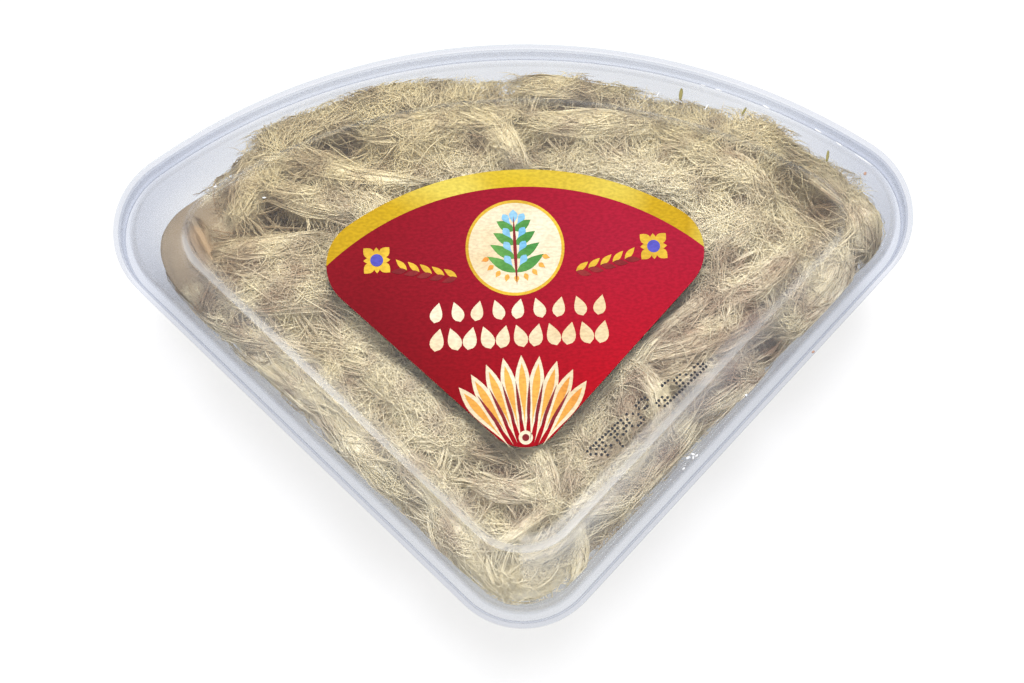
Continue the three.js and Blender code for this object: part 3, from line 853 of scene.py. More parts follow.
def make_label():
    """The label's paper and, on it, a piece for each of its inks."""
    outline = fan_outline(0, LABEL_RADIUS, 0, LABEL_APEX_RADIUS, LABEL_CORNER_RADIUS)
    sheet = [at_height(on_label(outline), z) for z in (PANEL_TOP, PANEL_TOP + LABEL_THICKNESS)]
    field = paper_material("label_field", field_paint_and_sheen, 0.08)
    paper = make_piece("label_paper", *loft(sheet), field, "label_paper", smooth=False)
    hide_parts("label")

    gold = Ink()
    rim = outline[np.linalg.norm(outline, axis=1) > BAND_RADIUS]
    gold.band(rim, rim / np.linalg.norm(rim, axis=1, keepdims=True) * BAND_RADIUS)
    gold.make("label_gold", paper_material("label_gold", gold_paint_and_sheen, 0.1))
    # Each colour has a height of its own, so that no two faces coincide.
    inks = {name: Ink(layer) for layer, name in enumerate(INKS)}
    print_medallion(inks)
    print_sprays(inks)
    print_seeds(inks["cream"])
    print_flower(inks)
    for name, ink in inks.items():
        ink.make("label_" + name, print_material(name, *INKS[name]))


def print_medallion(inks):
    """A round medallion with a sesame sprig: stem, paired leaves, bell flowers, loose seeds."""
    x, y = MEDALLION
    inks["cream"].disc(x, y, MEDALLION_RADIUS, 64)
    inks["leafgold"].ring(x, y, MEDALLION_RADIUS, MEDALLION_RADIUS + 0.6, 72)
    inks["wine"].leaf(x, y - 7.8, 90, 14.6, 0.7, 0.5)
    for step in range(4):
        height = y - 5.2 + 2.9 * step
        for side in (1, -1):
            inks["green"].leaf(x, height, 90 - side * 58, 6.8 - 0.9 * step, 2.1, 0.45)
            inks["blue"].leaf(x + side * 0.5, height + 1.1, 90 - side * 34, 3.0, 1.5, 0.7)
    inks["blue"].leaf(x, y + 5.0, 90, 3.0, 1.8, 0.6)
    for step in range(9):
        degrees = 200 + 17.5 * step
        seed_x, seed_y = towards(degrees, 7.4)
        inks["ochre"].leaf(x + seed_x, y + seed_y, degrees + 180, 1.7, 1.0, 0.6)


def print_sprays(inks):
    """Leaf sprays on both sides of the medallion, and a four-petalled flower at each one's end."""
    for side in (1, -1):
        for step in range(5):
            x = side * (12.0 + 2.5 * step)
            y = 38.6 + 0.5 * step
            lean = 90 - side * (80 - 3 * step)
            inks["leafgold"].leaf(x, y, lean + side * 26, 3.2, 1.2, 0.45)
            inks["wine"].leaf(x, y, lean - side * 26, 3.2, 1.2, 0.45)
        x, y = side * 28.0, 43.0
        for petal in range(4):
            inks["leafgold"].leaf(x, y, 45 + 90 * petal, 3.7, 2.1, 0.6)
            inks["leafgold"].leaf(x, y, 90 * petal, 2.7, 1.2, 0.6)
        inks["indigo"].disc(x, y, 1.3)


def print_seeds(ink):
    """Two rows of seeds that lean to and fro."""
    for count, y, pitch, length in ((9, 29.4, 4.1, 4.3), (11, 23.6, 3.3, 4.8)):
        for place in range(count):
            lean = 90 + (16 if place % 2 else -16)
            x = (place - (count - 1) / 2) * pitch - towards(lean, 0.5 * length)[0]
            ink.leaf(x, y, lean, length, 0.58 * length, 0.36)


def print_flower(inks):
    """Long petals that open from the label's tip."""
    for step in range(-4, 5):
        degrees = 90 + 9.3 * step
        reach = 17.4 - 0.1 * step ** 2
        foot_x, foot_y = towards(degrees, 5.2)
        inks["cream"].leaf(foot_x, foot_y - 0.6, degrees, reach, 3.0, 0.66, 13)
        heart_x, heart_y = towards(degrees, 8.2)
        inks["ochre"].leaf(heart_x, heart_y - 0.6, degrees, reach - 4.6, 1.5, 0.66)
        if step < 4:
            between = degrees + 4.65
            inks["wine"].leaf(*towards(between, 8.0), between, 9.0, 0.7, 0.4)
    inks["cream"].disc(0, 5.4, 1.4)
    inks["wine"].disc(0, 5.4, 0.7)


# ---- stamp and specks ----

def random_mark(rng):
    """The dots of one mark: a walk over a small grid, which turns now and then and at its edge."""
    columns, rows = MARK_GRID
    dots = set()
    column, row = int(rng.integers(0, columns)), int(rng.integers(0, rows))
    facing = int(rng.integers(0, len(COMPASS)))
    for _ in range(int(rng.integers(9, 13))):
        dots.add((column, row))
        if rng.random() < 0.35:
            facing = (facing + 1) % len(COMPASS)
        for _ in COMPASS:
            ahead_column = column + COMPASS[facing][0]
            ahead_row = row + COMPASS[facing][1]
            if 0 <= ahead_column < columns and 0 <= ahead_row < rows:
                break
            facing = (facing + 1) % len(COMPASS)
        column, row = ahead_column, ahead_row
    return dots


def make_stamp(material):
    """A row of dot-printed marks on the panel, along the fan's right side; they spell nothing."""
    rng = np.random.default_rng(STAMP_SEED)
    start, end = np.array(STAMP_START), np.array(STAMP_END)
    ahead = (end - start) / np.linalg.norm(end - start)
    up = np.array([-ahead[1], ahead[0]])
    dots = []
    for mark in range(STAMP_MARKS):
        corner = start + mark / STAMP_MARKS * (end - start)
        for column, row in sorted(random_mark(rng)):
            place = corner + DOT_PITCH * (column * ahead + (row - MARK_GRID[1] / 2) * up)
            place = place + rng.normal(0, DOT_STRAY, 2)
            width = 2 * rng.uniform(*DOT_RADII)
            outline = oval(width, width, 8) + place
            dots.append(loft([at_height(outline, PANEL_TOP + z) for z in DOT_FACES]))
    make_piece("lid_stamp", *gather(dots), material, "lid_plastic", smooth=False)


def lid_height(x, y):
    """The lid's upper face at a place."""
    inset = float(round_distance(x, y))
    if inset < RIM_WIDTH:
        return RIM_HEIGHT
    if inset < (SLOPE_FOOT_INSET + PANEL_INSET) / 2:
        return RIM_HEIGHT - TRAY_DEPTH
    return PANEL_TOP


def make_specks(name, material):
    """Scratches, slivers and crumbs: low, closed, rounded grains on the lid."""
    grains = []
    for x, y, degrees, length, width, rise in SPECKS[name]:
        outline = turned(oval(length, width, 10), math.radians(degrees))
        foot = lid_height(x, y)
        grains.append(loft([
            at_height(scale * outline + (x, y), foot + height)
            for height, scale in ((-0.05, 1.0), (0.5 * rise, 1.0), (rise, 0.4))
        ]))
    make_piece(name, *gather(grains), material, "lid_plastic")


# ---- halva: the heap's form ----

Lock = namedtuple("Lock", "x y turn length bend half_width rise lift", defaults=(0.0, 0.0))


def make_random(seed):
    """The CAD model's even random numbers from 0 to 1."""
    multiplier = 1664525
    increment = 1013904223
    state = seed

    def draw():
        nonlocal state
        state = (state * multiplier + increment) % 2 ** 32
        return state / 2 ** 32

    return draw


def edge_distance(x, y):
    """How far a place is in from the edge of a fan with sharp corners."""
    up = y - APEX_Y
    return np.minimum((up - np.abs(x)) * SIN, FAN_RADIUS - np.hypot(x, up))


def round_distance(x, y, apex_round=APEX_RADIUS, corner_round=CORNER_RADIUS):
    """How far a place is in from the fan's edge, whose corners are round."""
    up = y - APEX_Y
    near = (up - np.abs(x)) * SIN
    far = (up + np.abs(x)) * SIN
    arc = FAN_RADIUS - np.hypot(x, up)

    def meet(a, b, r):
        inside = r - np.hypot(np.maximum(r - a, 0), np.maximum(r - b, 0))
        return np.where((a < r) & (b < r), inside, np.minimum(a, b))

    return np.minimum(meet(near, far, apex_round), meet(near, arc, corner_round))


def corner_share(x, y):
    """How far a place is from the bare corner's middle, as a share of its radius."""
    corner_x, corner_y, radius = CORNER_HOLLOW
    return np.hypot(x - corner_x, y - corner_y) / radius


def along_across(x, y, middle_x, middle_y, degrees):
    """Places as seen from a middle: how far along a direction and how far to its left."""
    c, s = math.cos(math.radians(degrees)), math.sin(math.radians(degrees))
    return (x - middle_x) * c + (y - middle_y) * s, (y - middle_y) * c - (x - middle_x) * s


def relief(x, y):
    crossed = np.sin(x / 5.3 + 0.7) * np.sin(y / 4.1 + 1.9)
    return crossed + 0.6 * np.sin(x / 2.9 - y / 3.7)


def hollow_depth(x, y, hollows=HOLLOWS):
    total = 0
    for *place, along, across, depth in hollows:
        u, v = along_across(x, y, *place)
        total = total + depth * np.exp(-(u / along) ** 2 - (v / across) ** 2)
    return total


def gloom(x, y):
    """How much darker the halva is at a place, from 0 to 1: its pits hold less light."""
    return np.clip((hollow_depth(x, y, HOLLOWS[:-1]) - 1.5) / 5.5, 0, 1)


def clumps(x, y):
    """A slow drift from tuft to tuft, about -1 to 1: waves in many directions, added up."""
    rng = np.random.default_rng(CLUMP_SEED)
    total = 0
    for _ in range(CLUMP_WAVES):
        turn = rng.uniform(0, math.pi)
        run = 2 * math.pi / rng.uniform(*CLUMP_LENGTHS)
        phase = rng.uniform(0, 2 * math.pi)
        total = total + np.sin(run * (x * math.cos(turn) + y * math.sin(turn)) + phase)
    return total / math.sqrt(CLUMP_WAVES / 2)


def shade(x, y, z):
    """How much darker or paler the halva is at a place, in tone: painted shade in its pits, the zones'
    painted shade and light, a slow random drift; down the wall, even and painted paler.
    """
    total = 0.3 * gloom(x, y) + CLUMP_TONE * clumps(x, y)
    for *zone, amount in SHADES:
        total = total + amount * nearness(x, y, *zone)
    upper = np.clip((z - SHADE_FOOT) / SHADE_RISE, 0, 1)
    return total * upper - SIDE_PALENESS * (1 - upper)


def on_main_lock(x, y):
    """Whether a place is over one of the main locks, whose skeins stay smooth."""
    over = np.zeros(np.shape(x), bool)
    for *place, length, bend, half_width in MAIN_LOCKS:
        u, v = along_across(x, y, *place)
        over |= (np.abs(u) < 0.42 * length) & (np.abs(v - bend * u * u) < 0.85 * half_width)
    return over


def far_lift(x, y):
    """The heap stands higher against the long arc, where loose halva is pushed up the wall."""
    arc = FAN_RADIUS - np.hypot(x, y - APEX_Y)
    close = np.clip(1 - (arc - FAR_LIFT_START) / FAR_LIFT_WIDTH, 0, 1)
    return FAR_LIFT * close ** 2 * np.clip((FAR_LIFT_REACH - np.abs(x)) / FAR_LIFT_FADE, 0, 1)


def top_height(x, y):
    """The height at which the locks lie, a little above the heap's core."""
    inwards = np.maximum(edge_distance(x, y) - SHOULDER_START, 0)
    shoulder = 1 - np.minimum(inwards / SHOULDER_WIDTH, 1)
    crown = CROWN_HEIGHT - SHOULDER_DROP * shoulder ** 2 + RELIEF * relief(x, y)
    return crown + far_lift(x, y) - hollow_depth(x, y)


def grain_angle(x, y):
    """The way the halva runs at a place, led by the main locks near it."""
    cos_sum = 0
    sin_sum = 0
    for lock_x, lock_y, degrees, *_ in MAIN_LOCKS:
        apart = (x - lock_x) ** 2 + (y - lock_y) ** 2
        weight = 1 / (apart ** GRAIN_FALLOFF + GRAIN_SOFTNESS)
        double = math.radians(2 * degrees)
        cos_sum = cos_sum + weight * math.cos(double)
        sin_sum = sin_sum + weight * math.sin(double)
    return np.arctan2(sin_sum, cos_sum) / 2


def roof_height(x, y):
    """The lid's underside above a place."""
    inset = round_distance(
        x, y, PANEL_INSET + PANEL_APEX_RADIUS, PANEL_INSET + PANEL_CORNER_RADIUS
    )
    slope = PANEL_INSET - SLOPE_FOOT_INSET
    rise = np.clip((inset - SLOPE_FOOT_INSET - 0.6) / slope, 0, 1)
    return RIM_HEIGHT - TRAY_DEPTH - LID_SHEET + (PANEL_RISE + TRAY_DEPTH) * rise


def keep_inside(points, margin):
    """Strand points moved to where the tub and the lid leave room, or just into their wall."""
    x, y, z = points[..., 0], points[..., 1], points[..., 2]
    step = 0.05
    for _ in range(2):
        z = np.clip(z, FLOOR_THICKNESS + margin, roof_height(x, y) - 0.2)
        inset = round_distance(x, y)
        short = np.maximum(wall_inset(z) + WALL_THICKNESS + margin - inset, 0)
        push_x = (round_distance(x + step, y) - inset) / step
        push_y = (round_distance(x, y + step) - inset) / step
        size = np.maximum(np.hypot(push_x, push_y), 1e-6)
        x = x + short * push_x / size
        y = y + short * push_y / size
    return np.stack([x, y, z], -1)


# ---- halva: locks ----

def main_locks():
    return [
        Lock(x, y, math.radians(degrees), *form, MAIN_LOCK_RISE)
        for x, y, degrees, *form in MAIN_LOCKS
    ]


def fill_locks(random):
    """The same fill locks as the CAD model's, by the same draws."""
    def vary():
        return 1 + FILL_SPREAD * (2 * random() - 1)

    locks = []
    grid_y = APEX_Y + FIELD_START
    while grid_y < -APEX_Y:
        grid_x = -FIELD_HALF_WIDTH
        while grid_x <= FIELD_HALF_WIDTH:
            x = grid_x + FILL_PITCH * (random() - 0.5)
            y = grid_y + FILL_PITCH * (random() - 0.5)
            turn = float(grain_angle(x, y)) + FILL_TURN * (random() - 0.5)
            bend = FILL_BEND * (random() - 0.5)
            length = FILL_LENGTH * vary()
            half_width = FILL_HALF_WIDTH * vary()
            lift = FILL_LIFT * random()
            if edge_distance(x, y) > FILL_MARGIN:
                locks.append(Lock(x, y, turn, length, bend, half_width, 0.0, lift))
            grid_x += FILL_PITCH
        grid_y += FILL_ROW_PITCH
    return locks


def lock_line(lock, t):
    """Points along a top lock at t from -0.5 to 0.5, and the way it heads there."""
    along = lock.length * t
    angle = lock.turn + lock.bend * along
    x = lock.x + along * np.cos(angle)
    y = lock.y + along * np.sin(angle)
    z = top_height(x, y) + lock.rise + lock.lift * np.cos(math.pi * t)
    return x, y, z, angle + lock.bend * along


def beside(x, y, z, heading, lateral, rise):
    """Points to the left of a line's points and above them."""
    return np.stack([x - lateral * np.sin(heading), y + lateral * np.cos(heading), z + rise], -1)


def rounding(t):
    """A lock's width where its ends are round, as a share, at t from -0.5 to 0.5."""
    return np.sqrt(np.clip(np.cos(math.pi * t), 0, 1))


def taper(t):
    """The same for a lock whose ends stay somewhat wide."""
    return LOCK_END_WIDTH + (1 - LOCK_END_WIDTH) * rounding(t)


def lock_body(lock, number):
    """The smooth, closed body under a lock's strands, with its flow along and across."""
    t = np.linspace(-0.46, 0.46, BODY_RINGS)[:, None]
    angles = np.linspace(0, 2 * math.pi, BODY_SIDES, endpoint=False)[None]
    thick = BODY_SHARE * (0.06 + 0.94 * rounding(t / 0.92))
    vertices = beside(
        *lock_line(lock, t), lock.half_width * thick * np.cos(angles),
        LOCK_HALF_HEIGHT * thick * np.sin(angles),
    )
    # The flow runs down the lock's side and back up, so that it has no seam.
    across = np.abs((angles + math.pi / 2) % (2 * math.pi) - math.pi) * lock.half_width
    flow = np.stack(np.broadcast_arrays(lock.length * t, across, float(number)), -1)
    return vertices.reshape(-1, 3), flow.reshape(-1, 3)


def body_triangles():
    """The triangles of one closed body, which has a fan of them at either end."""
    here = np.arange(BODY_SIDES)
    ahead = (here + 1) % BODY_SIDES
    fan = np.stack([0 * here[2:], here[1:-1], here[2:]], 1)
    triangles = [fan[:, ::-1], fan + (BODY_RINGS - 1) * BODY_SIDES]
    for low in range(0, (BODY_RINGS - 1) * BODY_SIDES, BODY_SIDES):
        high = low + BODY_SIDES
        triangles.append(np.stack([low + here, high + ahead, high + here], 1))
        triangles.append(np.stack([low + here, low + ahead, high + ahead], 1))
    return np.concatenate(triangles)


def make_bodies(locks, material):
    vertices, flow = zip(*(lock_body(lock, number) for number, lock in enumerate(locks)))
    vertices = keep_inside(np.concatenate(vertices), 0.2)
    first = np.arange(len(locks))[:, None, None] * BODY_RINGS * BODY_SIDES
    # Painted shade: the bodies under the strands are a little darker than the strands.
    make_triangles(
        "halva_lock_bodies", vertices, (first + body_triangles()).reshape(-1, 3), material,
        tone=0.12 + shade(*vertices.T), flow=np.concatenate(flow),
    )


def surface_grid(locks):
    """The height of the heap's surface, core and locks together, as a lookup on a grid."""
    xs = np.arange(-GRID_REACH[0], GRID_REACH[0], GRID_STEP)
    ys = np.arange(-GRID_REACH[1], GRID_REACH[1], GRID_STEP)
    gx, gy = np.meshgrid(xs, ys)
    grid = top_height(gx, gy) - CORE_SINK
    rows, columns = grid.shape
    t = np.linspace(-0.5, 0.5, 120)[:, None]
    across = np.linspace(-1, 1, 41)[None]
    for lock in locks:
        x, y, z = beside(
            *lock_line(lock, t), lock.half_width * taper(t) * across,
            LOCK_HALF_HEIGHT * taper(t) * np.sqrt(1 - across ** 2),
        ).transpose(2, 0, 1)
        i = np.clip(((y - ys[0]) / GRID_STEP).round().astype(int), 0, rows - 1)
        j = np.clip(((x - xs[0]) / GRID_STEP).round().astype(int), 0, columns - 1)
        np.maximum.at(grid, (i, j), z)
    padded = np.pad(np.minimum(grid, roof_height(gx, gy) - CLEARANCE), 1, mode="edge")
    grid = sum(padded[a:a + rows, b:b + columns] for a in range(3) for b in range(3)) / 9

    def look_up(x, y):
        v = np.clip((y - ys[0]) / GRID_STEP, 0, rows - 1.001)
        u = np.clip((x - xs[0]) / GRID_STEP, 0, columns - 1.001)
        i, j = v.astype(int), u.astype(int)
        v, u = v - i, u - j
        low = grid[i, j] * (1 - u) + grid[i, j + 1] * u
        high = grid[i + 1, j] * (1 - u) + grid[i + 1, j + 1] * u
        return low * (1 - v) + high * v

    return look_up


def below_around(points, surface, directions):
    """How far a point lies below the surface's mean height a little way off."""
    x, y, z = points.T
    steps = VALLEY_REACH * oval(2, 2, directions)
    return sum(surface(x + step_x, y + step_y) for step_x, step_y in steps) / directions - z


# ---- halva: strands ----

def strand_mesh(points, radii):
    """Three-sided closed strands along lines of points, with pointed ends: vertices, triangles."""
    strands, steps, _ = points.shape
    ahead = np.gradient(points, axis=1)
    ahead /= np.linalg.norm(ahead, axis=2, keepdims=True) + 1e-9
    side = np.cross(ahead, np.array([0.12, 0.07, 1.0]))
    side /= np.linalg.norm(side, axis=2, keepdims=True) + 1e-9
    out = np.cross(side, ahead)
    angles = np.radians([90.0, 210.0, 330.0])[None, None, :, None]
    offsets = np.cos(angles) * side[:, :, None, :] + np.sin(angles) * out[:, :, None, :]
    around = points[:, :, None, :] + radii[:, :, None, None] * offsets
    vertices = np.concatenate([
        points[:, :1], around[:, 1:-1].reshape(strands, -1, 3), points[:, -1:],
    ], axis=1)
    each = vertices.shape[1]
    k = np.arange(3)
    ahead_k = (k + 1) % 3
    rings = (1 + 3 * np.arange(steps - 3))[:, None]
    low, low_ahead = rings + k, rings + ahead_k
    one = np.concatenate([
        np.stack([low, low_ahead + 3, low_ahead], -1).reshape(-1, 3),
        np.stack([low, low + 3, low_ahead + 3], -1).reshape(-1, 3),
        np.stack([0 * k, 1 + k, 1 + ahead_k], 1),
        np.stack([0 * k + each - 1, each - 4 + ahead_k, each - 4 + k], 1),
    ])
    triangles = (np.arange(strands) * each)[:, None, None] + one[None]
    return vertices.reshape(-1, 3), triangles.reshape(-1, 3), each


def lock_strands(lock, count, rng, half_height=LOCK_HALF_HEIGHT, fray=1.0):
    """Lines of points for the strands that cover one top lock, ply by ply."""
    plies = max(2, round(lock.half_width / 0.9))
    ply = rng.integers(0, plies, count)
    span = math.pi + 0.5
    around = (ply + rng.beta(2, 2, count)) / plies * span - 0.25
    reach = rng.uniform(0.8, 1.04, count)[:, None]
    start = rng.uniform(-0.62, -0.26, count)[:, None]
    end = rng.uniform(0.26, 0.62, count)[:, None]
    t = start + (end - start) * np.linspace(0, 1, STRAND_POINTS)
    ply_phase = rng.uniform(0, 2 * math.pi, plies)[ply][:, None]
    ply_swing = rng.uniform(0.1, 0.55, plies)[ply][:, None]
    own_phase = rng.uniform(0, 2 * math.pi, count)[:, None]
    turned_by = around[:, None] + rng.uniform(-0.7, 0.7) * t * 2
    swing = ply_swing * np.sin(6.0 * t + ply_phase) + 0.1 * np.sin(19.0 * t + own_phase)
    splay = 1 + fray * rng.uniform(-0.2, 0.6, count)[:, None] * np.abs(2 * t) ** 4
    lateral = lock.half_width * taper(t) * reach * np.cos(turned_by) * splay + swing
    stray = np.where(rng.random(count) < 0.08 * fray, rng.normal(0, 0.18, count), 0)[:, None]
    crest = np.cos((around * plies / span * 2 * math.pi))[:, None]
    rise = half_height * taper(t) * reach * np.sin(turned_by) - 0.22 * crest
    lift = fray * rng.normal(0, 0.35, count)[:, None] * np.abs(2 * t) ** 5 + 1.2 * np.abs(stray)
    return beside(*lock_line(lock, t), lateral + stray * lock.length * t, rise + lift)


def random_places(count, rng, margin):
    """Even random places on the heap, at least a margin in from the fan's edge."""
    x = rng.uniform(-FIELD_HALF_WIDTH, FIELD_HALF_WIDTH, count * 3)
    y = rng.uniform(APEX_Y + 6, -APEX_Y, count * 3)
    fits = (round_distance(x, y) > margin) & (corner_share(x, y) >= 1)
    return x[fits][:count], y[fits][:count]


def smoothed(lines):
    """Lines of numbers with each number averaged with its neighbours."""
    kernel = np.array([1.0, 2.0, 3.0, 2.0, 1.0]) / 9
    padded = np.pad(lines, ((0, 0), (2, 2)), mode="edge")
    return sum(k * padded[:, i:i + lines.shape[1]] for i, k in enumerate(kernel))


def wisp_strands(rng, surface):
    """Small loose locks, laid over the surface below them."""
    lines = []
    for x, y in zip(*random_places(WISPS, rng, 6.5)):
        lock = Lock(
            x, y, float(grain_angle(x, y)) + rng.normal(0, 0.5), rng.uniform(9, 22),
            rng.uniform(-0.05, 0.05), rng.uniform(0.5, 1.5),
        )
        strands = lock_strands(lock, WISP_STRANDS, rng, 0.5, fray=1.6)
        px, py, pz = strands.transpose(2, 0, 1)
        strands[..., 2] = smoothed(surface(px, py)) + pz - top_height(px, py) + 0.1
        lines.append(strands)
    return np.concatenate(lines)


def whisker_share(x, y):
    """How thickly whiskers stand at a place, from 0 to 1."""
    total = WHISKER_FLOOR
    for zone in WHISKER_ZONES:
        total = total + nearness(x, y, *zone)
    return np.minimum(total, 1) * np.where(on_main_lock(x, y), 0.3, 1) * (1 - 0.85 * gloom(x, y))


def curled_lines(x, y, heading, length, curl):
    """Evenly bent lines from their starts: their points' x and y, and how far along these are."""
    along = length[:, None] * np.linspace(0, 1, WHISKER_POINTS)
    angle = heading[:, None] + curl[:, None] * along
    return x[:, None] + along * np.cos(angle), y[:, None] + along * np.sin(angle), along


def whisker_strands(rng, surface):
    """Short, thin, curled fibres that stand a little off the heap."""
    x, y = random_places(WHISKERS * 4, rng, 5.5)
    kept = rng.random(len(x)) < whisker_share(x, y)
    x, y = x[kept][:WHISKERS], y[kept][:WHISKERS]
    turn = grain_angle(x, y) + rng.normal(0, 1.0, len(x))
    length = rng.uniform(1.6, 6.5, len(x))
    curl = rng.normal(0, 0.12, len(x))
    climb = rng.uniform(-0.15, 0.45, len(x))[:, None]
    px, py, along = curled_lines(x, y, turn, length, curl)
    pz = smoothed(surface(px, py)) + climb * along * (1 - 0.5 * along / length[:, None]) + 0.25
    return np.stack([px, py, pz], -1)


def fringe_strands(rng, surface):
    """Fine fibres that stand out from the heap's edge along the long arc, tuft by tuft."""
    count = FRINGE_STRANDS
    tuft_turn = rng.uniform(-0.66, 0.5, FRINGE_TUFTS)
    tuft_lean = rng.normal(0, 0.7, FRINGE_TUFTS)
    tuft = rng.integers(0, FRINGE_TUFTS, count)
    turn = math.pi / 2 + tuft_turn[tuft] + rng.normal(0, 0.018, count)
    reach = FAN_RADIUS - rng.uniform(5.5, 12, count)
    heading = turn + tuft_lean[tuft] + rng.normal(0, 0.45, count)
    length = rng.uniform(2.5, 7.5, count)
    curl = rng.normal(0, 0.12, count)
    px, py, along = curled_lines(
        reach * np.cos(turn), APEX_Y + reach * np.sin(turn), heading, length, curl
    )
    climb = rng.uniform(-0.15, 0.3, count)[:, None]
    return np.stack([px, py, surface(px[:, :1], py[:, :1]) + 0.1 + climb * along], -1)


def strand_piece(
    name, points, rng, material, surface=None, radius=STRAND_RADIUS, margin=0.2, paleness=0.0,
    contrast=0.33,
):
    """One mesh of tubes along the lines, thin at their ends, with a tone for each few strands."""
    count, steps, _ = points.shape
    thick = radius * rng.uniform(0.7, 1.3, count)[:, None]
    ends = np.clip(np.minimum(np.arange(steps), np.arange(steps)[::-1]) / 1.3, 0, 1)[None]
    vertices, triangles, each = strand_mesh(keep_inside(points, margin), thick * ends)
    plies = 6
    shared = np.repeat(rng.beta(1.5, 3.5, count // plies + 1), plies)[:count]
    own = rng.beta(0.5, 1.3, count)
    tones = np.repeat(0.35 * shared + contrast * own - paleness, each) + shade(*vertices.T)
    if surface is not None:
        # Painted shade: strands down in the valleys between the locks are darker.
        tones += 0.42 * np.clip((below_around(vertices, surface, 6) - 0.2) / 2.5, 0, 1)
    make_triangles("halva_" + name, vertices, triangles, material, tone=np.clip(tones, 0, 1))


def wall_lock_lines(random):
    """The CAD model's locks along the wall: where each starts, its length, height and climb."""
    lines = []
    for n in range(WALL_LOCKS):
        start = (n + 0.7 * random()) / WALL_LOCKS
        length = 0.05 + 0.04 * random()
        z = 6 + 19 * random()
        climb = 14 * (random() - 0.5)
        lines.append((start, length, z, climb))
    return lines


def wall_strands(lines, per_lock, steps, rng, half_width, half_height):
    """Strands pressed against the tub's wall, lock by lock."""
    loop = looped(wall_ring((wall_inset(WALL_MIDDLE) + WALL_THICKNESS + 2.6, 0)))
    run = runs(loop)

    def on_wall(u):
        return np.interp(u % run[-1], run, loop[:, 0]), np.interp(u % run[-1], run, loop[:, 1])

    made = []
    for start, length, z, climb in lines:
        around = rng.uniform(0, math.pi, per_lock)[:, None]
        reach = rng.uniform(0.7, 1.0, per_lock)[:, None]
        first = rng.uniform(-0.05, 0.2, per_lock)[:, None]
        last = rng.uniform(0.8, 1.05, per_lock)[:, None]
        phase = rng.uniform(0, 6.28, per_lock)[:, None]
        t = first + (last - first) * np.linspace(0, 1, steps)
        u = (start + length * t) * run[-1]
        px, py = on_wall(u)
        ahead_x, ahead_y = on_wall(u + 0.5)
        heading = np.arctan2(ahead_y - py, ahead_x - px)
        width = half_width * taper(np.clip(t - 0.5, -0.5, 0.5))
        height = z + climb * (t - 0.5) + width * reach * np.cos(around) + 0.4 * np.sin(9 * t + phase)
        out = half_height * reach * np.sin(around) + wall_inset(WALL_MIDDLE) - wall_inset(height)
        # Strands that would climb past the heap's brink turn down again.
        height = np.where(height > SIDE_TOP, SIDE_TOP - 0.6 * (height - SIDE_TOP), height)
        made.append(beside(px, py, 0, heading, -out, np.clip(height, 2, SIDE_TOP)))
    return np.concatenate(made)


def make_bed(surface, material):
    """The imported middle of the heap: it follows the locks' forms and fills the tub to its wall."""
    foot = wall_ring((WALL_FOOT_INSET + WALL_THICKNESS + 2.2, FLOOR_THICKNESS - 0.2))
    rings = [evenly(foot, BED_POINTS)]
    for z in np.linspace(1.6, BED_TOP, BED_SIDE_RINGS):
        ring = evenly(wall_ring((wall_inset(z) + WALL_THICKNESS + 0.2, z)), BED_POINTS)
        turns = np.arctan2(ring[:, 1], ring[:, 0])
        dent = 0.5 + 0.5 * np.sin(9 * turns + 0.8 + z / 3.1) * np.sin(z / 2.3 + 2.1 + 5 * turns)
        foot_round_in = max(0.0, 1 - (z - 1) / 2.2) ** 2 * 0.027
        near = np.clip((25 - ring[:, 1]) / 12, 0, 1)
        ragged = 0.7 + 0.3 * np.sin(31 * turns) * np.sin(17 * turns + 1.3)
        brink = 0.018 * ragged * near * np.clip((z - 18) / 7, 0, 1)
        ring[:, :2] *= 1 - (0.006 + 0.016 * dent + foot_round_in + brink)[:, None]
        rings.append(ring)
    top = rings[-1]
    for scale in np.linspace(0.99, 0.02, BED_TOP_RINGS):
        x, y = scale * top[:, 0], scale * top[:, 1]
        blend = min(1.0, (1 - scale) / 0.03)
        rings.append(np.column_stack([x, y, top[:, 2] * (1 - blend) + (surface(x, y) - 0.6) * blend]))
    vertices, faces = loft(rings)
    x, y, z = vertices.T
    filled = corner_share(x, y) > CORNER_CLEAR
    # Painted shade: the bed is a little darker than the strands over it, and darker still in its
    # cavities.
    cavity = np.clip((below_around(vertices, surface, 8) - 1.0) / 3.5, 0, 1) * (z > BED_TOP) * filled
    tone = np.clip(0.12 * filled + 0.3 * cavity + shade(x, y, z), -SIDE_PALENESS, 1)
    bed = make_piece("halva_bed", vertices, faces, material, "halva_strands", tone=tone)
    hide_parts("halva")


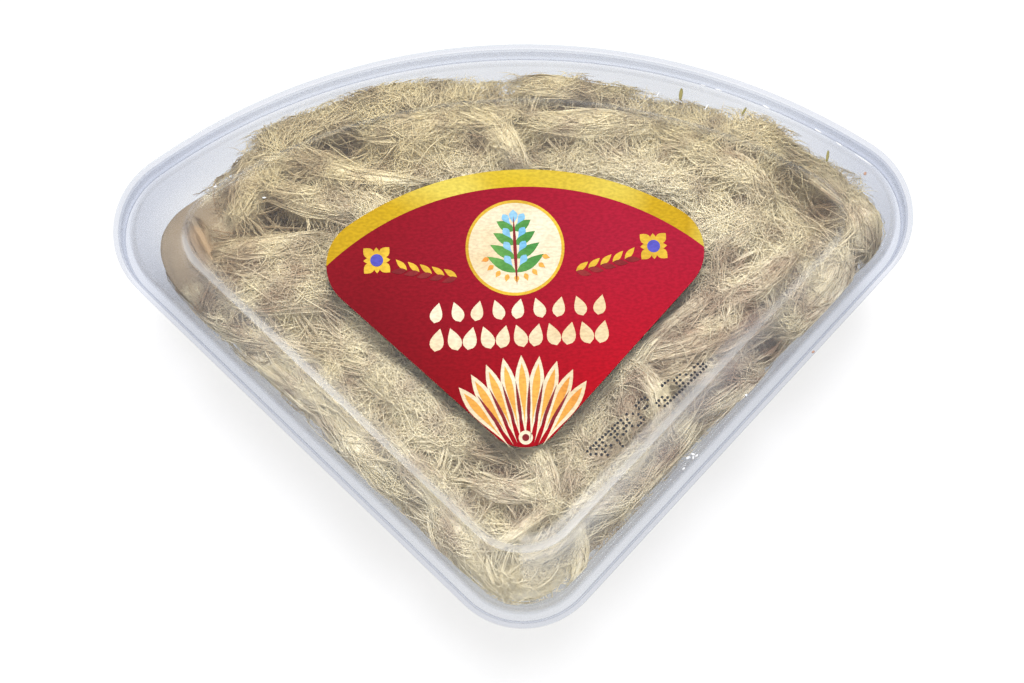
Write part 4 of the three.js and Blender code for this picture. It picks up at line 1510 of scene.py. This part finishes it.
def make_halva(strand_finish, body_finish, bed_finish):
    """The heap: its packed middle, the locks' bodies, and the strands on all of them."""
    random = make_random(SEED)
    main = main_locks()
    fill = fill_locks(random)
    wall_lines = wall_lock_lines(random)
    fill = [lock for lock in fill if corner_share(lock.x, lock.y) > CORNER_CLEAR]
    surface = surface_grid(main + fill)
    make_bed(surface, bed_finish)
    make_bodies(main + fill, body_finish)
    rng = np.random.default_rng(SEED)
    half = len(main) // 2
    for name, locks in (("right", main[:half]), ("left", main[half:])):
        lines = np.concatenate([
            lock_strands(
                lock, round(MAIN_STRAND_DENSITY * lock.half_width * lock.length), rng, fray=0.6
            ) for lock in locks
        ])
        strand_piece(
            "strands_" + name, lines, rng, strand_finish, surface, paleness=0.05, contrast=0.26
        )
    lines = np.concatenate([
        lock_strands(lock, FILL_LOCK_STRANDS, rng, fray=1.4) for lock in fill
    ])
    strand_piece("strands_fill", lines, rng, strand_finish, surface)
    strand_piece("wisps", wisp_strands(rng, surface), rng, strand_finish, surface)
    for name in ("first", "second", "third"):
        whiskers = whisker_strands(rng, surface)
        strand_piece("whiskers_" + name, whiskers, rng, strand_finish, surface, paleness=0.15)
    strand_piece("fringe", fringe_strands(rng, surface), rng, strand_finish, paleness=0.1)
    side = wall_strands(
        wall_lines, WALL_LOCK_STRANDS, WALL_LOCK_POINTS, rng, WALL_LOCK_HALF_WIDTH, LOCK_HALF_HEIGHT
    )
    strand_piece(
        "wall_locks", side, rng, strand_finish, radius=WALL_STRAND_RADIUS, margin=-WALL_BITE
    )
    small = [
        (rng.uniform(0, 1), rng.uniform(0.03, 0.09), rng.uniform(3, 27), rng.normal(0, 5))
        for _ in range(WALL_WISPS)
    ]
    fine = wall_strands(small, WALL_WISP_STRANDS, STRAND_POINTS, rng, *WALL_WISP_SIZE)
    strand_piece(
        "wall_wisps", fine, rng, strand_finish, radius=WALL_WISP_RADIUS, margin=-WALL_BITE
    )


# ---- studio and camera ----

def make_stage():
    mesh = bpy.data.meshes.new("floor")
    corners = [(-1, -1), (1, -1), (1, 1), (-1, 1)]
    mesh.from_pydata([(FLOOR_REACH * x, FLOOR_REACH * y, 0) for x, y in corners], [], [(0, 1, 2, 3)])
    floor = bpy.data.objects.new("floor", mesh)
    floor.location.z = -FLOOR_SINK
    bpy.context.scene.collection.objects.link(floor)
    material, tree = new_material("floor_paper")
    surface = add(tree, "BsdfPrincipled", {
        "Base Color": FLOOR_COLOUR, "Roughness": 0.9, "Specular IOR Level": 0.1,
        "Emission Color": (1, 1, 1, 1), "Emission Strength": FLOOR_GLOW,
    })
    mesh.materials.append(finished(material, tree, surface))


def make_lights():
    world = bpy.data.worlds.new("studio")
    world.use_nodes = True
    background = world.node_tree.nodes["Background"]
    background.inputs["Color"].default_value = SKY_COLOUR
    background.inputs["Strength"].default_value = SKY_STRENGTH
    bpy.context.scene.world = world
    for name, place, target, size, power, mirrored in LIGHTS:
        data = bpy.data.lights.new(name, "AREA")
        data.shape = "SQUARE"
        data.size = size
        data.energy = power
        light = bpy.data.objects.new(name, data)
        light.location = place
        light.rotation_euler = (Vector(target) - Vector(place)).to_track_quat("-Z", "Y").to_euler()
        light.visible_glossy = mirrored
        bpy.context.scene.collection.objects.link(light)


def limit_bounces():
    cycles = bpy.context.scene.cycles
    cycles.denoising_prefilter = "FAST"
    cycles.denoising_input_passes = "RGB_ALBEDO"
    cycles.sample_clamp_indirect = 3.0
    cycles.caustics_reflective = False
    cycles.max_bounces = 8
    cycles.diffuse_bounces = 3
    cycles.glossy_bounces = 2
    cycles.transmission_bounces = 4
    cycles.transparent_max_bounces = 24


def make_camera():
    aim = Vector((CAMERA_AIM[0], CAMERA_AIM[1] + APEX_Y, RIM_HEIGHT))
    back = Vector((
        math.sin(CAMERA_SIDE) * math.cos(CAMERA_TILT), -math.sin(CAMERA_TILT),
        math.cos(CAMERA_SIDE) * math.cos(CAMERA_TILT),
    ))
    right = (-back).cross(Vector((math.sin(CAMERA_ROLL), math.cos(CAMERA_ROLL), 0))).normalized()
    data = bpy.data.cameras.new("camera")
    data.sensor_width = 36
    data.lens = CAMERA_LENS
    data.clip_start = 0.01
    camera = bpy.data.objects.new("camera", data)
    turn = Matrix((right, right.cross(-back), back)).transposed().to_4x4()
    camera.matrix_world = Matrix.Translation((aim + back * CAMERA_DISTANCE) * MM) @ turn
    bpy.context.scene.collection.objects.link(camera)
    bpy.context.scene.camera = camera


make_camera()
make_stage()
make_lights()
limit_bounces()
bpy.context.scene.view_settings.view_transform = "Standard"

make_tub(plastic_material("tub_plastic", (0.945, 0.952, 0.964, 1), 0.025, 0.25))
make_lid(plastic_material("lid_plastic", (0.972, 0.976, 0.984, 1), 0.018, 0.16))
make_label()
make_stamp(speck_material("stamp_ink", (0.012, 0.011, 0.014), 0.5))
# Partly painted highlight: white dashes along the far rim, with white flakes.
make_specks("lid_glints_and_flakes", speck_material("glint_and_flake_white", (0.37, 0.375, 0.385), 0.4))
make_specks("lid_slivers", speck_material("sliver_olive", (0.12, 0.105, 0.035), 0.6))
make_specks("lid_crumbs", speck_material("crumb_brown", (0.20, 0.12, 0.09), 0.7))
make_halva(
    halva_material("halva_strands", HALVA_LOOKS, 0.38),
    halva_material("halva_skein", HALVA_LOOKS, 0.28, skein_fibres, (0.60, 0.34), 0.55, 0.0005),
    halva_material("halva_felt", BED_LOOKS, 0.28, felt_fibres, (0.66, 0.44), 0.45, 0.0006),
)
